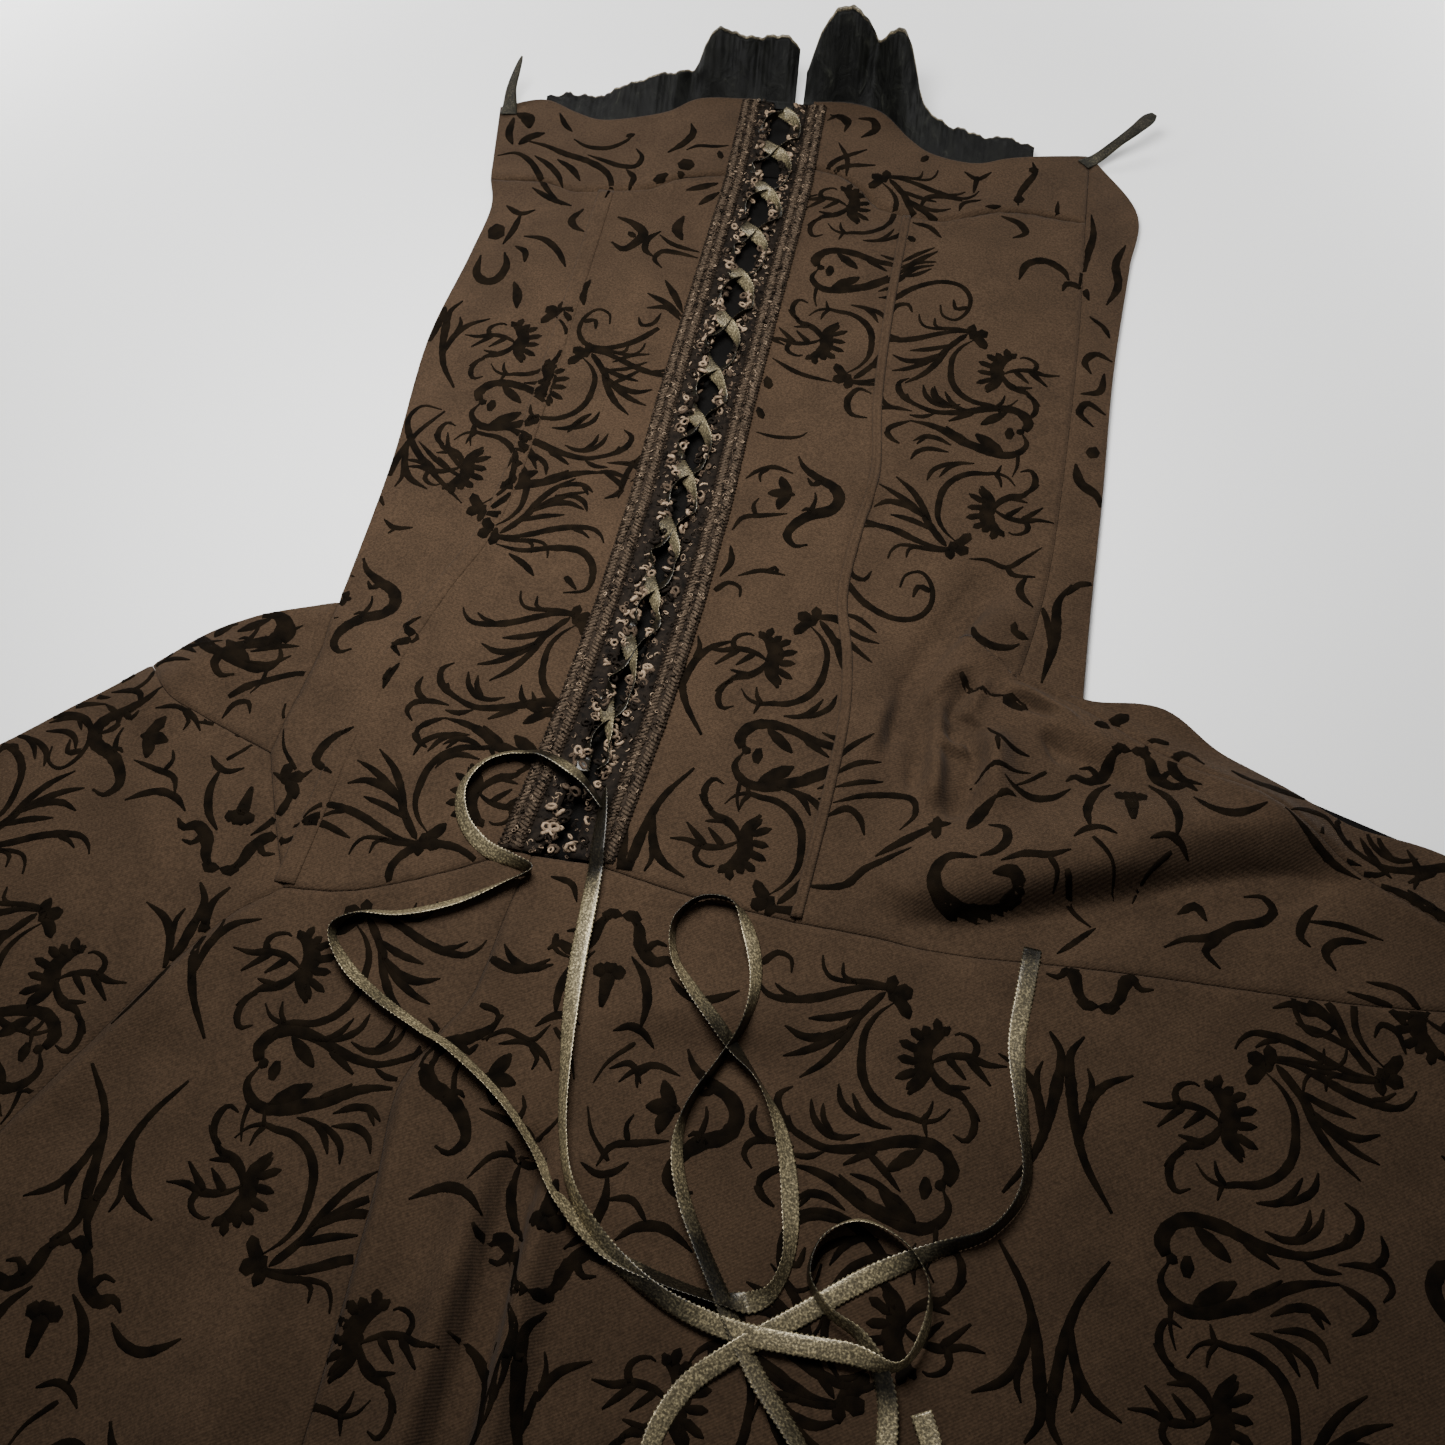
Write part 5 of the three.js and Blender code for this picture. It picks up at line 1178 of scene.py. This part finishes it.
STITCH = model_of(bpy.ops.mesh.primitive_uv_sphere_add, segments=6, ring_count=4, radius=1)
LOOP = model_of(bpy.ops.mesh.primitive_torus_add, major_segments=6, minor_segments=3, major_radius=1,
                minor_radius=0.3)
BOBBLE = model_of(bpy.ops.mesh.primitive_torus_add, major_segments=7, minor_segments=4, major_radius=1,
                  minor_radius=0.5)

braid_yarn = yarn("braid_yarn", (0.014, 0.0098, 0.0066), (0.096, 0.068, 0.045), 700)
braid_shade = yarn("braid_shade", (0.009, 0.0062, 0.0042), (0.03, 0.0205, 0.0135), 420)
loop_tan = yarn("loop_tan", (0.08, 0.055, 0.037), (0.33, 0.24, 0.16), 300)
loop_mid = yarn("loop_mid", (0.03, 0.02, 0.0135), (0.1, 0.07, 0.047), 300)
loop_dark = yarn("loop_dark", (0.003, 0.0022, 0.0016), (0.014, 0.0098, 0.0066), 300)

BRAID = {"heights": [0.8, 1.5, 1.1, 1.5, 0.8], "rib_step": 2.1, "rib": (2.7, 0.95, 0.8), "rib_height": 1.35,
         "slant": 34, "bead_step": 2.3, "bead": (0.85, 0.75, 0.7), "bead_height": 1.0}
LACE = {"fine": 1750, "fine_size": (0.7, 1.15), "bobbles": 370, "bobble_size": (1.2, 2.3), "bobble_reach": 9,
        "base": 6.5, "height": 2.4, "net": (6.5, 9.5, 12.5)}


def braid(side):
    """Flat braid: a base, two rows of slanting ribs that meet in its middle, and a beaded edge each side."""
    word = side_word(side)
    inner, outer = STRIP["braid_inner"], STRIP["braid_outer"]
    middle = (inner + outer) / 2
    quarter = (outer - inner) / 4
    across = [side * offset for offset in (inner, middle - quarter, middle, middle + quarter, outer)]
    base = laid_strip("braid_" + word, across, BRAID["heights"], braid_shade, "braid")
    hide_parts("braid_" + word)
    chance = random.Random(11 + side)
    ribs, beads = [], []
    y = STRIP["top"] - 1
    while y > STRIP["end"] + 1:
        for row, tilt in ((middle - quarter * 0.95, 1), (middle + quarter * 0.95, -1)):
            x = strip_line(side * row, np.array([y]))[0, 0]
            z = float(front_top(x, y)) + BRAID["rib_height"] + chance.uniform(-0.12, 0.12)
            slant = math.radians(side * tilt * BRAID["slant"] + chance.uniform(-7, 7))
            turn = Matrix.Rotation(slant, 4, "Z").to_quaternion()
            ribs.append(((x, y, z), turn, np.array(BRAID["rib"]) * chance.uniform(0.92, 1.08)))
        y -= BRAID["rib_step"]
    y = STRIP["top"] - 1
    while y > STRIP["end"] + 1:
        for row in (inner + 0.3, outer - 0.3):
            x = strip_line(side * row, np.array([y + chance.uniform(-0.3, 0.3)]))[0, 0]
            z = float(front_top(x, y)) + BRAID["bead_height"]
            size = np.array(BRAID["bead"]) * chance.uniform(0.8, 1.15)
            beads.append(((x, y, z), Matrix.Identity(4).to_quaternion(), size))
        y -= BRAID["bead_step"]
    copies("braid_ribs_" + word, STITCH, ribs, lambda at: 0, [braid_yarn], "braid")
    copies("braid_beads_" + word, STITCH, beads, lambda at: 0, [braid_shade], "braid")


def lace(side):
    """Looped lace: fine loops beside the braid and plump satin loops at the laced gap."""
    word = side_word(side)
    chance = random.Random(29 + side)
    net = laid_strip("lace_net_" + word, [side * offset for offset in (*LACE["net"], STRIP["lace_outer"])],
                     [0.5, 0.9, 0.9, 0.6], loop_dark, "looped_lace", base=-0.6)
    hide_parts("lace_" + word)
    for name, model, count, sizes in (("lace_loops_", LOOP, LACE["fine"], LACE["fine_size"]),
                                      ("lace_bobbles_", BOBBLE, LACE["bobbles"], LACE["bobble_size"])):
        loops = []
        for _ in range(count):
            share = chance.random()
            y = STRIP["top"] - share * (STRIP["top"] - STRIP["end"])
            inner = gap_at(share) - 0.5 + 1.8 * math.sin(y * 0.31 + side) * (1 - share)
            outer = STRIP["braid_outer"] - 0.8
            if model is BOBBLE:
                outer = inner + LACE["bobble_reach"] * (0.55 + 0.45 * share)
            offset = inner + (outer - inner) * chance.random() ** (0.8 if model is LOOP else 1.15)
            x = strip_line(side * offset, np.array([y]))[0, 0]
            z = float(LACE["base"] + chance.random() ** 1.4 * LACE["height"])
            if offset > STRIP["lace_outer"]:
                z = float(front_top(x, y)) + chance.uniform(1.5, 2.3)
            turn = Matrix.Rotation(chance.uniform(0, 6.28), 4, "Z")
            turn = (turn @ Matrix.Rotation(chance.uniform(-1.2, 1.2), 4, "X")).to_quaternion()
            size = chance.uniform(*sizes)
            loops.append(((x, y, z), turn, np.array((size, size * chance.uniform(0.5, 0.95), size))))
        tones = random.Random(5 + side)
        weights = (0.16, 0.5, 0.34) if model is LOOP else (0.4, 0.3, 0.3)
        copies(name + word, model, loops, lambda at: tones.choices((0, 1, 2), weights)[0],
               [loop_tan, loop_mid, loop_dark], "looped_lace")


for side in (-1, 1):
    braid(side)
    lace(side)

LACING = {"pitch": 38, "reach": 5.5, "width": 8 * 0.94, "top": 524, "bottom": 40, "points": 6, "sink": 2.6}


def lacing(side):
    """One strand of the lacing: it crosses on top, twisting to an edge, and returns below."""
    word = "over" if side > 0 else "under"
    chance = random.Random(17 + side)
    steps = int((LACING["top"] - LACING["bottom"]) / LACING["points"])
    route = []
    for i in range(steps + 1):
        y = LACING["top"] - (LACING["top"] - LACING["bottom"]) * i / steps
        share = (LACING["top"] - y) / (LACING["top"] - LACING["bottom"])
        swing = gap_at(share) + LACING["reach"] * (1 - 0.45 * share)
        phase = (LACING["top"] - y) / LACING["pitch"] * math.pi
        axis = float(strip_axis(y))
        across, onward = side * math.sin(phase), side * math.cos(phase)
        on_top = max(0.0, onward)
        turn = 34 + 40 * across + chance.uniform(-8, 8) if onward > 0 else 62 + 22 * math.sin(3 * phase)
        depth = LACING["sink"] * (max(0.0, -onward) + 0.8 * abs(across) ** 3)
        # Painted highlight where the strand is on top and swings to one side, and painted shade where it runs
        # below
        painted_shine = on_top * (0.45 + 0.7 * max(0.0, across + 0.35)) * chance.uniform(0.7, 1.1)
        route.append((axis + swing * across, y, -depth / RIBBON["layer"], turn, painted_shine))
    piece = flat_ribbon("lacing_band_" + word, route, LACING["width"], lift=-STRIP["rise"])[0]
    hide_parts("lacing_" + word)


for side in (-1, 1):
    lacing(side)


def channel(name, line, half, height, printed):
    """A boning channel over a princess seam: a tape with turned edges."""
    dense = edge(line)
    count = int(line_length(dense) / 3)
    places = along(dense, np.linspace(0.004, 0.996, count + 1))
    upper, lower = [], []
    for off, rise in ((-1, 0), (-0.8, 1), (-0.25, 1.1), (0, 0.55), (0.25, 1.1), (0.8, 1), (1, 0)):
        x, y = places[:, 0] + off * half, places[:, 1]
        under = front_top(x, y)
        upper.append(np.column_stack([x, y, under + 0.45 + rise * height]))
        lower.append(np.column_stack([x, y, under + 0.2]))
    piece = new_piece(name, *wall_of_lines(upper, lower), cloth_material, "flocked_cloth")
    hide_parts(name.replace("channel_tape", "boning_channel"))
    if not printed:
        return
    outline = np.concatenate([places + (half * 0.85, 0), (places - (half * 0.85, 0))[::-1]])
    word = name.rsplit("_", 1)[1]
    motifs = PRINT["centre_front_" + word] + PRINT["side_front_" + word]
    flock("print_channel_" + word, motifs, outline, lambda x, y: front_top(x, y) + 0.5 + height,
          flock_material)


channel("channel_tape_left", PRINCESS_LEFT, 4.8, 0.3, printed=True)
channel("channel_tape_right", PRINCESS_RIGHT, 2.6, 1.3, printed=False)

# The ruffle: for each x, how far it stands past the neckline, how steeply it rises, and how far it bows out
RUFFLE_LEFT = [
    (-137, 4, 12, 0), (-120, 12, 16, 1), (-104, 17, 20, -1), (-80, 26, 24, 1), (-62, 28, 26, 2),
    (-50, 25, 29, 0), (-44, 22, 36, -4), (-39, 28, 48, 0), (-34, 39, 51, 4), (-28, 42, 52, 4),
    (-16, 38, 52, 2), (-5, 37, 52, -1), (8, 39, 52, 4), (15, 39, 52, 2), (20, 36, 52, -3), (22, 30, 52, -4),
]
RUFFLE_RIGHT = [
    (27, 16, 46, -4), (31, 32, 54, 0), (37, 46, 58, 3), (44, 55, 60, 5), (52, 57, 60, 6), (60, 54, 59, 4),
    (67, 45, 58, -1), (72, 38, 57, -5), (77, 46, 57, 2), (83, 53, 56, 5), (88, 54, 55, 4), (93, 50, 50, 0),
    (98, 36, 40, -3), (103, 27, 30, 0), (118, 23, 25, -1), (135, 21, 22, 1), (152, 18, 20, -1),
    (165, 12, 16, 1), (174, 7, 14, 0),
]
RUFFLE = {"root": 5, "below": 2.3, "past": 1.2, "rows": 24, "step": 0.9, "thickness": 0.5, "edge_rows": 1,
          "gather": 1.35}
# Nearly black sheer cloth; its paler stops are painted highlights on the crinkles
SHEER_PAINTED_SHEEN = [(0.46, (0.0017, 0.0018, 0.0014)), (0.6, (0.005, 0.0052, 0.004)), (0.78, (0.034, 0.035, 0.0265))]


def sheer_cloth():
    """Crinkled sheer cloth: nearly black, with silvery highlights painted in where it is crumpled."""
    material, tree, main = shader("sheer_crinkle", 0.6, Specular_IOR_Level=0.14)
    stretch = node(tree, "ShaderNodeMapping", Scale=(110, 60, 60))
    link(tree, place_on(tree), stretch.inputs["Vector"])
    crinkle_sheen = grain(tree, stretch.outputs["Vector"], 1.0, 7.0, Roughness=0.68, Distortion=1.2)
    finished(tree, main, ramp(tree, crinkle_sheen, SHEER_PAINTED_SHEEN), crinkle_sheen, 0.9, 0.001)
    return material


sheer_material = sheer_cloth()
edge_satin = satin("ruffle_edge_satin", (0.003, 0.003, 0.0025), (0.3, 0.25, 0.16), metallic=0.1)


def soft(values, reach=11):
    """Values with their corners rounded off."""
    weights = np.hanning(reach + 2)[1:-1]
    padded = np.pad(values, reach // 2, mode="edge")
    return np.convolve(padded, weights / weights.sum(), mode="valid")


def ruffle(word, neck, rows):
    """A crinkled ruffle that stands from under the neckline, in tall folds beside the laced strip."""
    neckline = edge(neck)
    table = np.array(rows, float)
    left, right = table[0, 0], table[-1, 0]
    columns = int((right - left) / RUFFLE["step"])
    x = np.linspace(left, right, columns + 1)
    length, tilt, bow = (soft(np.interp(x, table[:, 0], table[:, k])) for k in (1, 2, 3))
    length = length + 0.5 * np.sin(x * 0.6) + 0.3 * np.sin(x * 1.3 + 1)
    root = np.interp(x, neckline[:, 0], neckline[:, 1])
    low = np.minimum(front_top(x, root - RUFFLE["root"]), front_top(x, root)) - RUFFLE["below"]
    crinkle = 0.3 * np.sin(x * 1.5 + 2 * np.sin(x * 0.31)) + 0.12 * np.sin(x * 3.1 + 3 * np.sin(x * 0.7))
    wave = 1.3 * np.sin(x * 0.34 + 1.5 * np.sin(x * 0.11))
    sheets = {-0.5: [], 0.5: []}
    for k in range(RUFFLE["rows"] + 1):
        share = max(0.0, (k - 1) / (RUFFLE["rows"] - 1))
        angle = np.radians(tilt) * (0 if k == 0 else 1)
        start = root + (-RUFFLE["root"] if k == 0 else RUFFLE["past"])
        run = length * share
        ripple = 0.35 * np.sin(share * 14 + x * 0.5) * share
        off = bow * math.sin(share * 1.6) + wave * share + crinkle * (0.35 + 0.65 * share) + ripple
        off = off * (share > 0)
        sink = 0.5 * (1 - share) * (k > 0)
        for half in sheets:
            thick = off + half * RUFFLE["thickness"]
            y = start + run * np.cos(angle) - thick * np.sin(angle)
            z = low - sink + run * np.sin(angle) + thick * np.cos(angle)
            sheets[half].append(np.column_stack([x, y, z]))
    body = RUFFLE["rows"] - RUFFLE["edge_rows"]
    for name, first, last, material, slot in (
        ("ruffle_" + word, 0, body, sheer_material, "ruffle_cloth"),
        ("ruffle_edge_" + word, body, RUFFLE["rows"], edge_satin, "ruffle_cloth"),
    ):
        upper = np.concatenate(sheets[0.5][first:last + 1][::-1])
        lower = np.concatenate(sheets[-0.5][first:last + 1][::-1])
        vertices, faces = closed_wall(upper, lower, last - first, columns)
        piece = new_piece(name, vertices, faces, material, slot)
        if first == 0:
            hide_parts("neck_ruffle_" + word)


# Near-black lining cloth: its own dark colour, darkened further to paint the shade where it shows inside the
# laced gap
lining_and_shade_material = twill_cloth("lining", (0.0015, 0.0013, 0.001), (0.004, 0.0032, 0.0025))
# A dark sheet of the lining cloth goes on down behind the upper end of the laced gap; with the lining's
# painted shade it darkens the gap there
DARK_SHEET = {"left": -7, "right": 38, "low": 470, "high": 537, "under": 1.9, "over": 2.5, "steps": 14}
dark_sheet_x, dark_sheet_y = np.meshgrid(np.linspace(DARK_SHEET["left"], DARK_SHEET["right"], DARK_SHEET["steps"] + 1),
                                 np.linspace(DARK_SHEET["high"], DARK_SHEET["low"], DARK_SHEET["steps"] + 1))
dark_sheet_wave = 0.25 * np.sin(dark_sheet_x * 0.7) * np.sin(dark_sheet_y * 0.2)
dark_sheet_sides = [np.column_stack([dark_sheet_x.ravel(), dark_sheet_y.ravel(), (dark_sheet_wave + level).ravel()])
                for level in (DARK_SHEET["over"], DARK_SHEET["under"])]
new_piece("dark_sheet_behind_gap", *closed_wall(*dark_sheet_sides, DARK_SHEET["steps"], DARK_SHEET["steps"]), lining_and_shade_material,
          "ruffle_cloth")
ruffle("left", NECK_LEFT, RUFFLE_LEFT)
ruffle("right", NECK_RIGHT, RUFFLE_RIGHT)

LOOP_LEFT = [(-157, 504, 0), (-158, 512, 0), (-158, 520, 12), (-156, 528, 18), (-153, 536, 25)]
LOOP_RIGHT = [(204, 503, 0), (212, 511, 0), (223, 520, 10), (233, 529, 14), (243, 541, 17)]
LOOP_HALF_WIDTHS = {"left": [5.5, 4.6, 3.3, 2.6, 1.8], "right": [4.6, 3.8, 3.4, 4.2, 6.4]}
LOOP_RISE = 1.2
loop_satin = satin("loop_satin", (0.008, 0.0075, 0.005), (0.05, 0.043, 0.027), metallic=0, roughness=0.6,
                   specular=0.15)


def hanging_loop(word, places):
    """A doubled narrow ribbon that rises past a top corner and turns over at its end."""
    places = [(x, y, max(z, float(front_top(x, y)) + LOOP_RISE)) for x, y, z in places]
    rows = along(spline(places, 12), np.linspace(0, 1, 33))
    ahead = np.gradient(rows, axis=0)
    ahead /= np.linalg.norm(ahead, axis=1)[:, None]
    side = np.column_stack([ahead[:, 1], -ahead[:, 0], np.zeros(len(rows))])
    side /= np.linalg.norm(side, axis=1)[:, None]
    face = np.cross(side, ahead)
    spread = 0.35 + 1.1 * np.sin(np.linspace(0, math.pi, len(rows))) ** 0.6
    run = np.linspace(0, 1, len(rows))
    narrow = np.interp(run * 4, range(5), LOOP_HALF_WIDTHS[word]) * np.sqrt(np.clip(1 - run ** 10, 0.12, 1))
    upper, lower = [], []
    for off, rise in ((-1, 0.2), (-0.7, 1), (0, 1), (0.7, 1), (1, 0.2)):
        mid = rows + side * (off * narrow)[:, None]
        upper.append(mid + face * (spread * rise)[:, None])
        lower.append(mid - face * (0.25 * rise))
    vertices, faces = wall_of_lines(upper, lower)
    piece = new_piece("loop_" + word, vertices, turned_over(faces), loop_satin, "satin_ribbon")
    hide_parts("hanging_loop_" + word)


hanging_loop("left", LOOP_LEFT)
hanging_loop("right", LOOP_RIGHT)

# The back, which lies flat under the front
BACK_NECK = [(-160, 487), (222, 487)]
BACK_WAIST = [(-144, 117), (223, 117)]
BACK_LEFT = [(-160, 487), (-153, 444), (-146, 420), (-152, 305), (-145, 210), (-144, 117)]
BACK_RIGHT = [(222, 487), (235, 464), (234, 417), (228, 330), (226, 246), (223, 117)]
BACK_LEFT_SKIRT = [
    [(-144, 117), (-184, 101), (-222, 65)], [(-222, 65), (-277, 12), (-330, -31), (-430, -111), (-567, -215)],
]
BACK_RIGHT_SKIRT = [
    [(223, 117), (260, 117), (287, 96), (381, 60)],
    [(381, 60), (440, 27), (500, -13), (600, -83), (704, -150)],
]
BACKS = {
    "bodice": {
        "top": [BACK_NECK], "bottom": [BACK_WAIST], "left": [BACK_LEFT], "right": [BACK_RIGHT],
        "cut": (0.39, 0.38, 0.139),
    },
    "skirt": {
        "top": [BACK_WAIST], "bottom": [HEM_SIDE_LEFT, HEM_LEFT, HEM_RIGHT, HEM_SIDE_RIGHT],
        "left": BACK_LEFT_SKIRT, "right": BACK_RIGHT_SKIRT, "cut": (1.3, 0.56, 0.467),
    },
}
BACK_LOW = 0.35
BACK_STEP = 12
BACK_RIPPLE = 0.12


def back_panel(word, panel):
    """A back panel: printed cloth on its underside and dark lining above, whose colour also paints the shade
    in the laced gap.
    """
    edges = panel_edges(panel)
    plan = panel_plan(edges["top"], edges["bottom"], edges["left"], edges["right"], BACK_STEP)
    rows, columns = plan.shape[0] - 1, plan.shape[1] - 1
    flat = plan.reshape(-1, 2)
    upper = np.column_stack([flat, np.full(len(flat), BACK_TOP)])
    ripple = BACK_RIPPLE * np.sin(flat[:, 0] * 0.05) * np.sin(flat[:, 1] * 0.043)
    lower = np.column_stack([flat, BACK_LOW + BACK_RIPPLE + ripple])
    vertices, faces = closed_wall(upper, lower, rows, columns)
    piece = new_piece("cloth_back_" + word, vertices, faces, lining_and_shade_material, "flocked_cloth")
    piece.data.materials.append(cloth_material)
    looks = np.ones(len(faces), int)
    looks[:rows * columns] = 0
    piece.data.polygons.foreach_set("material_index", looks)
    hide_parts("back_" + word)
    return edges


back_edges = {word: back_panel(word, panel) for word, panel in BACKS.items()}
BACK_FIELD = (-600, 720, -430, 500)
BACK_COLUMNS = {
    "bodice": [(-150, 300), (46, 140), (242, 300)],
    "skirt": [(-542, -60), (-346, 100), (-150, -60), (46, 100), (242, -60), (438, 100), (634, -60)],
}
for word, columns in BACK_COLUMNS.items():
    motifs = column_motifs(columns, BACK_FIELD)
    flock("print_back_" + word, motifs, outline_of(back_edges[word]), lambda x, y: np.full(len(x), BACK_LOW),
          flock_material, -1, FLOCK["back_step"])


# Lamps: place, aim, size, spread in degrees and power
LAMPS = {
    "softbox_key": ((-0.05, 0.2, 0.52), (-0.04, 0.17, 0), 0.3, 170, 6.2),
    "background_left": ((-1.0, 0.9, 0.7), (-0.85, 0.85, 0), 0.6, 95, 15),
    "background_right": ((1.1, 0.85, 0.7), (1.0, 0.75, 0), 0.6, 95, 15),
    "background_far": ((0.05, 1.5, 0.7), (0.05, 1.4, 0), 0.6, 95, 14),
}
SKY = 0.15


def lights():
    for name, (place, aim, size, spread, power) in LAMPS.items():
        data = bpy.data.lights.new(name, "AREA")
        data.energy = power
        data.size = size
        data.spread = math.radians(spread)
        lamp = bpy.data.objects.new(name, data)
        bpy.context.scene.collection.objects.link(lamp)
        lamp.location = place
        lamp.rotation_euler = (Vector(aim) - Vector(place)).to_track_quat("-Z", "Y").to_euler()
    world = bpy.data.worlds.new("studio")
    bpy.context.scene.world = world
    world.use_nodes = True
    sky = world.node_tree.nodes["Background"]
    sky.inputs["Color"].default_value = (1, 1, 1, 1)
    sky.inputs["Strength"].default_value = SKY


lights()
